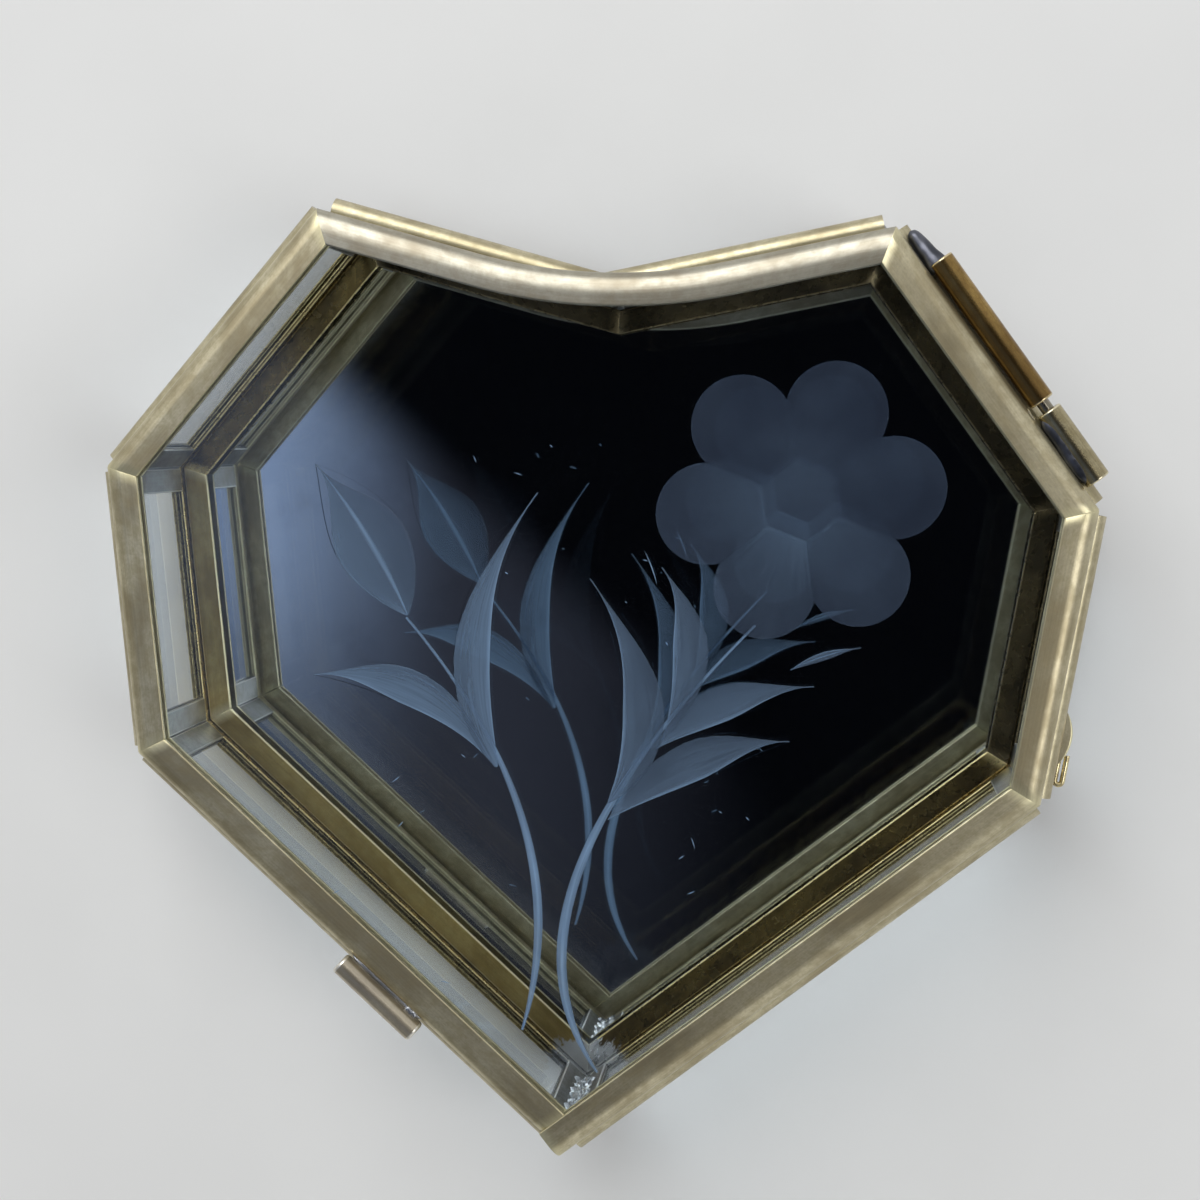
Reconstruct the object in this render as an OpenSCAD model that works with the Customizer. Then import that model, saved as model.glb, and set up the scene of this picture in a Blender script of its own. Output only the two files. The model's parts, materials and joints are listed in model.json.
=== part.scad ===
// Heart-shaped trinket box: glass panes held in brass U-channel (came), a mirror
// floor, and a lid with a wheel-cut flower spray that turns on a tube hinge.
// Seen from above, +Y points to the two lobes and -Y to the tip. Walls are
// numbered clockwise from the notch: 0 back right, 1 upper right (hinge),
// 2 right, 3 lower right, 4 lower left (handle), 5 left, 6 upper left, 7 back left.

/* [Heart outline] */
// Width over the two widest corners
heart_w = 127; // [118:0.5:140]
// Depth from the lobe corners to the tip
heart_d = 122; // [112:0.5:132]
// Distance of each lobe corner from the centre line
lobe_x = 36; // [33:0.25:39]
// How far the widest corners lie in front of the lobe corners
side_drop = 34.9; // [31:0.1:38]
// Distance of each hip corner from the centre line
hip_x = 58.4; // [55:0.1:59]
// How far the hip corners lie in front of the lobe corners
hip_drop = 72.6; // [69:0.1:76]
// Slope of the two back walls down into the notch
notch_angle = 13.5; // [10:0.5:16]

/* [Glass and came] */
// Thickness of every pane
glass_t = 2.0; // [1.6:0.1:2.6]
// Thickness of a came flange
came_wall = 0.55; // [0.4:0.05:0.8]
// Thickness of a rounded came back at its crest
round_back = 1.0; // [0.8:0.05:1.2]
// Depth of the lid came, from its rounded edge to its open side
lid_came_d = 4.1; // [3.6:0.1:4.8]
// Depth of the rim came on top of the walls
rim_came_d = 3.3; // [2.9:0.1:4]
// Depth of the foot came under the walls
foot_came_d = 5.0; // [4.4:0.1:5.8]
// Depth of the upright cames at the ends of the walls
end_came_d = 3.3; // [2.8:0.1:4]
// Depth of the came round the mirror
base_came_d = 3.2; // [2.6:0.1:4]

/* [Walls and base] */
// Height of the walls
wall_h = 28.6; // [22:0.2:40]
// How far the mirror's came stands above the feet of the walls
base_lift = 0.5; // [0.2:0.1:1]
// How far a solder seam fills the gap between two walls
seam_d = 2.2; // [1.4:0.1:2.8]
// How far a solder seam stops below the rim
seam_drop = 1.7; // [1.6:0.1:4]

/* [Lid] */
// How far the lid stands in from the outer faces of the walls
lid_step = 1.45; // [1.2:0.05:1.9]
// The same at the back, where the lid's edge is curved
lid_back_step = 2.0; // [1.4:0.1:2.6]
// Radius of the curve at the middle of the lid's back edge
notch_r = 66; // [50:1:90]
// Air between the lid and the rim
lid_gap = 0.1; // [0.05:0.05:0.3]

/* [Hinge] */
// Outside diameter of the hinge tube
tube_d = 3.2; // [2.8:0.1:3.6]
// Diameter of the hinge pin
pin_d = 1.6; // [1.2:0.1:1.8]
// Air round the pin in the lid's knuckle
run_clear = 0.05; // [0.02:0.01:0.1]
// Air round the pin in the box's knuckle, where it is soldered fast
fast_clear = 0.02; // [0.01:0.01:0.04]
// Air between a knuckle and the lid's edge
knuckle_clear = 0.35; // [0.3:0.05:0.6]
// Height of the hinge line above the rim
axis_lift = 1.3; // [1.2:0.05:1.9]
// Start of the box's knuckle, along the wall from the lobe corner
knuckle_at = 7.9; // [6.5:0.1:9]
// Length of the box's knuckle
box_knuckle_l = 21.2; // [18:0.1:22]
// Gap between the two knuckles
knuckle_gap = 1.3; // [0.6:0.1:2]
// Length of the lid's knuckle
lid_knuckle_l = 10.4; // [8:0.1:11]
// How far the pin stays inside the outer ends of the knuckles
pin_inset = 0.4; // [0.2:0.1:1]
// Half height of the solder between a tube and the lid's edge
fillet_h = 0.95; // [0.6:0.05:1.2]
// Length of the solder lump that ties the box's knuckle to the lobe corner
lump_l = 5; // [3:0.1:5.4]

/* [Lift handle] */
// Outside diameter of the handle tube
handle_d = 2.9; // [2.4:0.1:3.2]
// Wall of the handle tube
handle_wall = 0.5; // [0.35:0.05:0.7]
// Length of the handle tube
handle_l = 13.2; // [10:0.1:18]
// Start of the handle, along the wall from the tip
handle_at = 25.5; // [20:0.1:30]
// Air between the handle and the lid's edge, filled by solder
handle_clear = 0.5; // [0.3:0.05:0.8]
// Rounding of the handle's ends
handle_round = 0.4; // [0.1:0.05:0.45]

/* [Side lug] */
// Start of the lug, along the right wall from its widest corner
lug_at = 25.9; // [22:0.1:27]
// Length of the lug
lug_l = 6.8; // [5:0.1:8]
// How far the lug stands out of the wall
lug_out = 1.25; // [0.8:0.05:2]
// Height of the lug
lug_h = 1.6; // [1:0.1:1.7]
// Wire thickness of the small loop beside the lug
wire_d = 0.7; // [0.5:0.05:0.9]
// Distance between the middles of the loop's two legs
loop_w = 0.95; // [0.9:0.05:1.2]
// Length of the loop past the lug
loop_l = 2.6; // [2:0.1:3]
// How far the loop reaches back along the lug
loop_lap = 1.2; // [0.5:0.1:2]

/* [Wheel-cut spray] */
// Depth of the cuts in the top of the lid's glass
cut_d = 0.3; // [0.1:0.05:0.6]
// Place of the flower's middle
flower_x = 25.9; // [22:0.1:28]
flower_y = 25.2; // [22:0.1:28]
// Number of petals
petal_n = 6; // [5:1:8]
// Turn of the flower
flower_turn = 10.5; // [0:0.5:30]
// Distance of a petal's round end from the flower's middle
petal_at = 11.6; // [10:0.1:13]
// Radius of a petal's round end
petal_r = 6.3; // [5:0.1:7]
// Width of the ridge of glass left between two petals
petal_line = 0.3; // [0.2:0.1:0.8]
// Radius of the flower's heart, to its corners
heart_r = 5.0; // [4:0.1:6]

/* [Hidden] */
$fn = 96;
over = 1;                               // how far a cutting body runs past what it cuts
brass = "#b9a36a";
tinned = "#9a9b98";
clear_glass = [0.75, 0.85, 0.88, 0.35];

came_t = glass_t + 2 * came_wall;       // outside thickness of every came
came_r = came_t / 2;
lobe_y = heart_d / 2;
lid_z = wall_h + lid_gap + came_r;      // middle plane of the lid
base_z = base_lift + came_r;            // middle plane of the mirror
axis_z = wall_h + axis_lift;            // height of the hinge line
tube_r = tube_d / 2;
axis_out = knuckle_clear + tube_r - lid_step;   // hinge line, outside the wall's face
HINGE = 1;                              // wall that carries the hinge
RIGHT = 2;
TIP_RIGHT = 3;                          // wall whose lid came runs through at the tip
HANDLE = 4;                             // wall over which the handle stands
BACK_RIGHT = 0;
BACK_LEFT = 7;

corners = [
  [0, lobe_y - lobe_x * tan(notch_angle)],
  [lobe_x, lobe_y],
  [heart_w / 2, lobe_y - side_drop],
  [hip_x, lobe_y - hip_drop],
  [0, -heart_d / 2],
  [-hip_x, lobe_y - hip_drop],
  [-heart_w / 2, lobe_y - side_drop],
  [-lobe_x, lobe_y]
];
walls = len(corners);

function next(i) = (i + 1) % walls;
function prev(i) = (i + walls - 1) % walls;
function unit(v) = v / norm(v);
// Direction of wall i and the normal that points into the box
function along(i) = unit(corners[next(i)] - corners[i]);
function inward(i) = let (a = along(i)) [a[1], -a[0]];
function heading(i) = let (a = along(i)) atan2(a[1], a[0]);
function length_of(i) = norm(corners[next(i)] - corners[i]);
// Corner i of the outline drawn a inside the wall before it and b inside the wall after it
function inset2(i, a, b) =
  let (n = inward(prev(i)), m = inward(i), k = n * m)
  corners[i] + ((a - b * k) * n + (b - a * k) * m) / (1 - k * k);
function inset(i, d) = inset2(i, d, d);
function outline(d) = [for (i = [0 : walls - 1]) inset(i, d)];
// Walls are square-ended plates that meet at their inner edges, or at the notch
// at their outer edges, so each one is shorter than its side of the outline
function trim_a(i) = max(0, (inset(i, came_t) - corners[i]) * along(i));
function trim_b(i) = max(0, (corners[next(i)] - inset(next(i), came_t)) * along(i));
function wall_l(i) = length_of(i) - trim_a(i) - trim_b(i);

// Lid outline
function lid_step_of(i) = (i == BACK_RIGHT || i == BACK_LEFT) ? lid_back_step : lid_step;
function lid_corner(i, d) = inset2(i, lid_step_of(prev(i)) + d, lid_step_of(i) + d);
// The back edge: two straight ends, and an arc that both of them touch
notch_c = lid_corner(0, 0) + [0, notch_r / cos(notch_angle)];
function notch_point(a, d) = notch_c + (notch_r + d) * [sin(a), -cos(a)];
// Crossing of the line along wall i, d inside the lid's edge, with that of wall j, e inside
function lid_cross(i, d, e) = inset2(i, lid_step_of(prev(i)) + d, lid_step_of(i) + e);

// Came section, crest at x = 0 and open towards -x, middle of its slot on y = 0
module came_section(depth, back, rounded) {
  difference() {
    union() {
      if (rounded)
        translate([-came_r, 0]) circle(came_r);
      translate([-depth, -came_r])
        square([rounded ? depth - came_r : depth, came_t]);
    }
    translate([-depth - over, -glass_t / 2])
      square([depth + over - back, glass_t]);
  }
}

// Places its children on wall i: x along the wall from its corner, y out of the wall
module on_wall(i) {
  translate([corners[i][0], corners[i][1], 0]) rotate([0, 0, heading(i)]) children();
}

// Section swept along x for a length
module sweep_x(length) {
  rotate([90, 0, 90]) linear_extrude(length) children();
}

// Lying came between the corners of a four-sided plan: p outside, q inside, a start, b end.
// Its ends are cut along the lines pa-qa and pb-qb, which the cutting body follows past both edges
module lying_came(pa, pb, qb, qa, depth, back, rounded, z) {
  run = unit(pb - pa);
  reach = lid_came_d + base_came_d;
  past_a = (pa - qa) / 4;
  past_b = (pb - qb) / 4;
  intersection() {
    translate([0, 0, z - came_t]) linear_extrude(2 * came_t)
      polygon([pa + past_a, pb + past_b, qb - past_b, qa - past_a]);
    translate([pa[0], pa[1], z]) rotate([0, 0, atan2(run[1], run[0])])
      translate([-reach, 0, 0]) sweep_x(norm(pb - pa) + 2 * reach)
        came_section(depth, back, rounded);
  }
}

// ---------- Walls ----------

module wall_glass(i) {
  foot_z = came_wall;
  color(clear_glass) on_wall(i)
    translate([trim_a(i) + came_wall, came_wall - came_t, foot_z])
      cube([wall_l(i) - 2 * came_wall, glass_t, wall_h - round_back - foot_z]);
}

module rim_came(i) {
  color(brass) on_wall(i)
    translate([trim_a(i), -came_r, wall_h]) sweep_x(wall_l(i))
      rotate(90) came_section(rim_came_d, round_back, true);
}

module foot_came(i) {
  color(brass) on_wall(i)
    translate([trim_a(i), -came_r, 0]) sweep_x(wall_l(i))
      rotate(-90) came_section(foot_came_d, came_wall, false);
}

// The two upright cames of a wall, between its foot and its rim
module end_cames(i) {
  color(tinned) on_wall(i)
    translate([trim_a(i), -came_r, foot_came_d]) {
      linear_extrude(wall_h - rim_came_d - foot_came_d)
        rotate(180) came_section(end_came_d, came_wall, false);
      translate([wall_l(i), 0, 0]) linear_extrude(wall_h - rim_came_d - foot_came_d)
        came_section(end_came_d, came_wall, false);
    }
}

// ---------- Mirror floor ----------

module base_mirror() {
  color([0.80, 0.84, 0.86]) translate([0, 0, base_z - glass_t / 2])
    linear_extrude(glass_t) polygon(outline(came_t + came_wall));
}

module base_came(i) {
  color(brass)
    lying_came(inset(i, came_t), inset(next(i), came_t),
      inset(next(i), came_t + base_came_d), inset(i, came_t + base_came_d),
      base_came_d, came_wall, false, base_z);
}

// ---------- Solder of the box ----------

// Seam between two walls: it starts where they touch and fills part of the open wedge
module corner_seam(i) {
  convex = trim_a(i) > 0;
  apex = convex ? inset(i, came_t) : corners[i];
  side = convex ? -1 : 1;
  translate([0, 0, came_wall]) linear_extrude(wall_h - seam_drop - came_wall)
    polygon([apex, apex + side * seam_d * inward(prev(i)), apex + side * seam_d * inward(i)]);
}

// Outside shape of the rim came, without its slot, over a length of the hinge wall
module rim_shape(start, length) {
  translate([start, -came_r, wall_h]) sweep_x(length) rotate(90) {
    translate([-came_r, 0]) circle(came_r);
    translate([-2 * rim_came_d, -came_r]) square([2 * rim_came_d - came_r, came_t]);
  }
}

// Solder seat under the box's knuckle, and the lump that ties its end to the corner
seat_in = 0.7;                          // seat's reach to either side of the line
seat_out = 1.1;                         // between the tube and the crest of the rim
lump_r = 1.15;
lump_y = -0.35;
lump_z = 0.35;
module knuckle_seat() {
  lean = [axis_out + came_r, axis_lift + came_r];
  across = unit([lean[1], -lean[0]]);
  crest = [-came_r, -came_r];
  tube_c = [axis_out, axis_lift];
  difference() {
    translate([0, 0, wall_h]) {
      translate([knuckle_at, 0, 0]) sweep_x(box_knuckle_l)
        polygon([crest - seat_in * across, tube_c - seat_in * across,
          tube_c + seat_out * across, crest + seat_out * across]);
      translate([knuckle_at - lump_l, lump_y, lump_z]) rotate([0, 90, 0])
        cylinder(r = lump_r, h = lump_l);
    }
    rim_shape(0, length_of(HINGE));
    translate([knuckle_at, axis_out, axis_z]) rotate([0, 90, 0])
      cylinder(r = tube_r, h = box_knuckle_l + over);
  }
}

module box_solder() {
  color(tinned) {
    for (i = [0 : walls - 1]) corner_seam(i);
    on_wall(HINGE) knuckle_seat();
  }
}

// ---------- Hinge ----------

// Tube along the hinge line, from a place along the wall
module knuckle(start, length, bore_r) {
  translate([start, axis_out, axis_z]) rotate([0, 90, 0]) difference() {
    cylinder(r = tube_r, h = length);
    translate([0, 0, -over]) cylinder(r = bore_r, h = length + 2 * over);
  }
}

lid_knuckle_at = knuckle_at + box_knuckle_l + knuckle_gap;
hinge_end = lid_knuckle_at + lid_knuckle_l;

module box_hinge_knuckle() {
  color("#a98a4c") on_wall(HINGE)
    knuckle(knuckle_at, box_knuckle_l, pin_d / 2 + fast_clear);
}

module lid_hinge_knuckle() {
  color(brass) on_wall(HINGE)
    knuckle(lid_knuckle_at, lid_knuckle_l, pin_d / 2 + run_clear);
}

module hinge_pin() {
  color("#c8c4b8") on_wall(HINGE)
    translate([knuckle_at + pin_inset, axis_out, axis_z]) rotate([0, 90, 0])
      cylinder(r = pin_d / 2, h = hinge_end - knuckle_at - 2 * pin_inset);
}

// ---------- Side lug ----------

module side_lug() {
  bow_r = (lug_l * lug_l / 4 + lug_out * lug_out) / (2 * lug_out);
  face_z = wall_h - rim_came_d;
  color(brass) on_wall(RIGHT) translate([lug_at + lug_l / 2, 0, face_z])
    intersection() {
      translate([0, lug_out - bow_r, 0]) cylinder(r = bow_r, h = lug_h);
      translate([-lug_l, 0, -over]) cube([2 * lug_l, 2 * lug_out, lug_h + 2 * over]);
    }
}

// Hairpin of wire that lies on the rim's face, below the lug
module side_loop() {
  wire_r = wire_d / 2;
  leg = loop_l + loop_lap - loop_w / 2;
  color("#cfc9b4") on_wall(RIGHT)
    translate([lug_at + lug_l - loop_lap, wire_r, wall_h - rim_came_d - wire_r]) {
      rotate([0, 90, 0]) cylinder(r = wire_r, h = leg);
      translate([0, loop_w, 0]) rotate([0, 90, 0]) cylinder(r = wire_r, h = leg);
      translate([leg, loop_w / 2, 0]) rotate([0, 0, -90]) rotate_extrude(angle = 180)
        translate([loop_w / 2, 0]) circle(wire_r);
    }
}

// ---------- Lid ----------

// Points of a leaf: its spine bends from the base to the tip, and its half width
// rises and falls once, widest at the belly's share of the length
leaf_steps = 14;
function bend(p, c, q, t) = (1 - t) * (1 - t) * p + 2 * t * (1 - t) * c + t * t * q;
function bend_side(p, c, q, t) =
  let (d = unit((1 - t) * (c - p) + t * (q - c))) [-d[1], d[0]];
function swell(t, belly) = sin(180 * pow(t, ln(0.5) / ln(belly)));
function leaf_points(p, c, q, half, belly) = concat(
  [for (k = [0 : leaf_steps]) let (t = k / leaf_steps)
    bend(p, c, q, t) + half * swell(t, belly) * bend_side(p, c, q, t)],
  [for (k = [leaf_steps - 1 : -1 : 1]) let (t = k / leaf_steps)
    bend(p, c, q, t) - half * swell(t, belly) * bend_side(p, c, q, t)]);
// Points of a stem: a thin line that swells once, widest at the belly's share of the length
function stem_points(p, c, q, line, half, belly) = concat(
  [for (k = [0 : leaf_steps]) let (t = k / leaf_steps)
    bend(p, c, q, t) + (line + half * swell(t, belly)) * bend_side(p, c, q, t)],
  [for (k = [leaf_steps : -1 : 0]) let (t = k / leaf_steps)
    bend(p, c, q, t) - (line + half * swell(t, belly)) * bend_side(p, c, q, t)]);

// Leaves: base, bend, tip, half width, belly
leaves = [
  [[-22.4, 8.6], [-27.4, 19.0], [-34.8, 27.1], 4.7, 0.45],
  [[-10.6, -10.0], [-19.0, 3.0], [-34.3, 0.5], 2.3, 0.55],
  [[-10.3, -10.0], [-19.5, 6.0], [-6.5, 24.9], 2.3, 0.40],
  [[3.7, -13.7], [13.4, -2.4], [0.3, 14.5], 2.6, 0.45],
  [[10.2, -5.4], [16.9, 6.6], [9.2, 16.3], 2.2, 0.50],
  [[9.5, -6.5], [15.4, 1.2], [28.8, 2.4], 2.2, 0.50],
  [[3.8, -15.8], [13.4, -5.2], [26.1, -4.6], 2.5, 0.50],
  [[25.7, 4.3], [29.6, 6.6], [34.2, 7.5], 0.5, 0.50]
];
// Stems: start, bend, end, half width of the line, what the swelling adds, belly
stems = [
  [[-22.6, 8.4], [1.0, -17.0], [-5.9, -43.3], 0.15, 0.4, 0.68],
  [[21.1, 9.6], [-12.0, -27.0], [3.9, -48.1], 0.14, 0.5, 0.64]
];

// One petal in polar places about the flower's middle: two straight sides that run
// out from the flower's heart, and a round end
petal_steps = 12;
function petal_points() =
  let (
    half = 180 / petal_n,
    side_y = petal_line / 2,
    reach = heart_r * cos(half) + petal_line,
    cusp = petal_at * cos(half) + sqrt(pow(petal_r, 2) - pow(petal_at * sin(half), 2)),
    start = atan2(cusp * sin(half), cusp * cos(half) - petal_at),
    slip = side_y * [sin(half), -cos(half)]
  )
  concat(
    [[reach, -reach * tan(half)] + [slip[0], -slip[1]]],
    [for (k = [0 : petal_steps]) let (a = start * (2 * k / petal_steps - 1))
      [petal_at, 0] + petal_r * [cos(a), sin(a)]
        + (k == 0 ? [slip[0], -slip[1]] : k == petal_steps ? slip : [0, 0])],
    [[reach, reach * tan(half)] + slip]);

module spray() {
  translate([flower_x, flower_y]) rotate(flower_turn) {
    for (k = [0 : petal_n - 1]) rotate(k * 360 / petal_n) polygon(petal_points());
    rotate(180 / petal_n) circle(heart_r, $fn = petal_n);
  }
  for (s = leaves) polygon(leaf_points(s[0], s[1], s[2], s[3], s[4]));
  for (s = stems) polygon(stem_points(s[0], s[1], s[2], s[3], s[4], s[5]));
}

// Plan of the lid, d inside its edge
module lid_plan(d) {
  difference() {
    polygon(concat([notch_point(-notch_angle, d), notch_point(notch_angle, d)],
      [for (i = [1 : walls - 1]) lid_corner(i, d)]));
    translate(notch_c) circle(notch_r + d, $fn = 360);
  }
}

module lid_glass() {
  color(clear_glass) translate([0, 0, lid_z - glass_t / 2]) difference() {
    linear_extrude(glass_t) lid_plan(round_back);
    translate([0, 0, glass_t - cut_d]) linear_extrude(cut_d + over) spray();
  }
}

// Straight lid came, mitred at both ends. At the tip the right piece runs through
// with a square end, and the left piece stops against it.
module lid_came(i) {
  j = next(i);
  through = lid_cross(TIP_RIGHT + 1, lid_came_d, 0);
  tip_end = through + lid_came_d * -inward(TIP_RIGHT);
  pa = i == TIP_RIGHT + 1 ? through : lid_corner(i, 0);
  pb = i == TIP_RIGHT ? tip_end : lid_corner(j, 0);
  qb = i == TIP_RIGHT ? through : lid_corner(j, lid_came_d);
  color(brass)
    lying_came(pa, pb, qb, lid_corner(i, lid_came_d), lid_came_d, round_back, true, lid_z);
}

// Left half of the back came: a straight end from the lobe corner, and the arc that it
// runs into. The arc goes on past the middle of the lid and is cut off there
module back_came_half() {
  outer = lid_corner(BACK_LEFT, 0);
  inner = lid_corner(BACK_LEFT, lid_came_d);
  past = (outer - inner) / 4;
  straight = norm(outer - notch_point(-notch_angle, 0)) + lid_came_d;
  intersection() {
    translate([0, 0, lid_z - came_t]) linear_extrude(2 * came_t)
      polygon([outer + past, [0, lobe_y], [0, notch_c[1] - notch_r - 2 * lid_came_d], inner - past]);
    translate([notch_c[0], notch_c[1], lid_z]) rotate([0, 0, -notch_angle]) {
      translate([-straight, -notch_r, 0]) sweep_x(straight)
        came_section(lid_came_d, round_back, true);
      rotate([0, 0, -90]) rotate_extrude(angle = 1.2 * notch_angle, $fn = 360)
        translate([notch_r, 0]) rotate(180) came_section(lid_came_d, round_back, true);
    }
  }
}

module lid_came_curved_back() {
  color(brass) for (side = [0, 1]) mirror([side, 0, 0]) back_came_half();
}

handle_r = handle_d / 2;
handle_out = handle_clear + handle_r - lid_step;   // handle's middle line, outside the wall's face

module lid_handle_tube() {
  bore_r = handle_r - handle_wall;
  color(brass) on_wall(HANDLE) translate([handle_at, handle_out, lid_z]) rotate([0, 90, 0])
    difference() {
      rotate_extrude() {
        square([handle_r - handle_round, handle_l]);
        translate([0, handle_round]) square([handle_r, handle_l - 2 * handle_round]);
        for (y = [handle_round, handle_l - handle_round])
          translate([handle_r - handle_round, y]) circle(handle_round, $fn = 32);
      }
      translate([0, 0, -over]) cylinder(r = bore_r, h = handle_l + 2 * over);
    }
}

// Solder between a tube beside the lid and the lid's rounded edge
module edge_fillet(start, length, out, z, r) {
  edge_y = -lid_step - came_r;
  difference() {
    translate([start, edge_y, z - fillet_h]) cube([length, out - edge_y, 2 * fillet_h]);
    translate([start - over, out, z]) rotate([0, 90, 0]) cylinder(r = r, h = length + 2 * over);
    translate([start - over, edge_y, lid_z]) rotate([0, 90, 0])
      cylinder(r = came_r, h = length + 2 * over);
  }
}

module lid_solder() {
  color(tinned) {
    on_wall(HINGE) edge_fillet(lid_knuckle_at, lid_knuckle_l, axis_out, axis_z, tube_r);
    on_wall(HANDLE) edge_fillet(handle_at + handle_round, handle_l - 2 * handle_round,
      handle_out, lid_z, handle_r);
  }
}

lid_glass();
lid_came_curved_back();
lid_came(1);  // lid_came_upper_right
lid_came(2);  // lid_came_right
lid_came(3);  // lid_came_lower_right
lid_came(4);  // lid_came_lower_left
lid_came(5);  // lid_came_left
lid_came(6);  // lid_came_upper_left
lid_handle_tube();
lid_hinge_knuckle();
lid_solder();
base_mirror();
base_came(0);  // base_came_back_right
base_came(1);  // base_came_upper_right
base_came(2);  // base_came_right
base_came(3);  // base_came_lower_right
base_came(4);  // base_came_lower_left
base_came(5);  // base_came_left
base_came(6);  // base_came_upper_left
base_came(7);  // base_came_back_left
wall_glass(0);  // wall_glass_back_right
wall_glass(1);  // wall_glass_upper_right
wall_glass(2);  // wall_glass_right
wall_glass(3);  // wall_glass_lower_right
wall_glass(4);  // wall_glass_lower_left
wall_glass(5);  // wall_glass_left
wall_glass(6);  // wall_glass_upper_left
wall_glass(7);  // wall_glass_back_left
rim_came(0);  // rim_came_back_right
rim_came(1);  // rim_came_upper_right
rim_came(2);  // rim_came_right
rim_came(3);  // rim_came_lower_right
rim_came(4);  // rim_came_lower_left
rim_came(5);  // rim_came_left
rim_came(6);  // rim_came_upper_left
rim_came(7);  // rim_came_back_left
foot_came(0);  // foot_came_back_right
foot_came(1);  // foot_came_upper_right
foot_came(2);  // foot_came_right
foot_came(3);  // foot_came_lower_right
foot_came(4);  // foot_came_lower_left
foot_came(5);  // foot_came_left
foot_came(6);  // foot_came_upper_left
foot_came(7);  // foot_came_back_left
end_cames(0);  // end_cames_back_right
end_cames(1);  // end_cames_upper_right
end_cames(2);  // end_cames_right
end_cames(3);  // end_cames_lower_right
end_cames(4);  // end_cames_lower_left
end_cames(5);  // end_cames_left
end_cames(6);  // end_cames_upper_left
end_cames(7);  // end_cames_back_left
box_hinge_knuckle();
hinge_pin();
box_solder();
side_lug();
side_loop();
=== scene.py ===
"""Looks of a heart-shaped glass trinket box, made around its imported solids.

The box is clear glass held in brass came, with a mirror floor and a lid whose glass is
wheel-cut with a flower spray. Plans are worked out in millimetres, as in the part's
source, and become metres where a mesh is made.
"""

import json
import logging
import math
from dataclasses import dataclass
from enum import Enum, IntEnum
from functools import partial
from typing import Callable, Optional, Sequence, Union

import bpy
import numpy as np
from mathutils import Matrix


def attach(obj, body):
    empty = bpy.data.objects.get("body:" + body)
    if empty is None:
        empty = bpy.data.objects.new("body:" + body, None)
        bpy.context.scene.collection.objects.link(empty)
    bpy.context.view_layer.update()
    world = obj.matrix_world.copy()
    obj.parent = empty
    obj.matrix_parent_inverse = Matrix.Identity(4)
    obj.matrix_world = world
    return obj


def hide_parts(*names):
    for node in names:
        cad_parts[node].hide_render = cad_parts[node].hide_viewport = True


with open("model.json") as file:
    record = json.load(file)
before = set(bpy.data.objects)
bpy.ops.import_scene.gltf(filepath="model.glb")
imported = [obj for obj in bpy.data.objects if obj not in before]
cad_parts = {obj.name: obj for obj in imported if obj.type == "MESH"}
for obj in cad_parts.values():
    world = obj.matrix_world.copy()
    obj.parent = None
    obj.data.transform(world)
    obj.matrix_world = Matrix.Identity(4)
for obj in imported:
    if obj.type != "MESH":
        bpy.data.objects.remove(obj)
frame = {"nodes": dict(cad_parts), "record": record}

MM = 0.001
FULL_TURN = 2 * math.pi
LOG = logging.getLogger("glass_box")

Array = np.ndarray
Socket = bpy.types.NodeSocket
Value = Union[float, Sequence[float], Socket]
Waves = Sequence[tuple[float, float]]


class Body(Enum):
    """The two rigid bodies of the box."""

    BOX = "box"
    LID = "lid"


class Side(Enum):
    """The eight walls, clockwise from the notch of the heart, seen from above."""

    BACK_RIGHT = 0
    UPPER_RIGHT = 1
    RIGHT = 2
    LOWER_RIGHT = 3
    LOWER_LEFT = 4
    LEFT = 5
    UPPER_LEFT = 6
    BACK_LEFT = 7

    @property
    def label(self) -> str:
        """The side's name as it ends a node's name."""
        return self.name.lower()


SIDES = len(Side)


class Seed(IntEnum):
    """Where the seeds of each group of pieces start, so that no two pieces are uneven alike."""

    CURVED_BACK = 9
    LID_CAME = 10
    RIM_CAME = 30
    FOOT_CAME = 40
    BASE_CAME = 50
    HINGE_SEAT = 71
    HINGE_LUMP = 72
    LID_FILLET = 73
    HANDLE = 81
    SEAM = 90
    LEAF = 100
    TIP = 120


# ---------------------------------------------------------------- plan of the box


def unit(v: Array) -> Array:
    """The vector at length one."""
    return v / np.linalg.norm(v)


def units(rows: Array) -> Array:
    """Each row at length one."""
    return rows / np.linalg.norm(rows, axis=1, keepdims=True)


def raised(plan: Array, height: Union[float, Array]) -> Array:
    """Plan points at a height, or each at its own."""
    return np.concatenate([plan, np.broadcast_to(height, plan.shape[:-1])[..., None]], -1)


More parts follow.
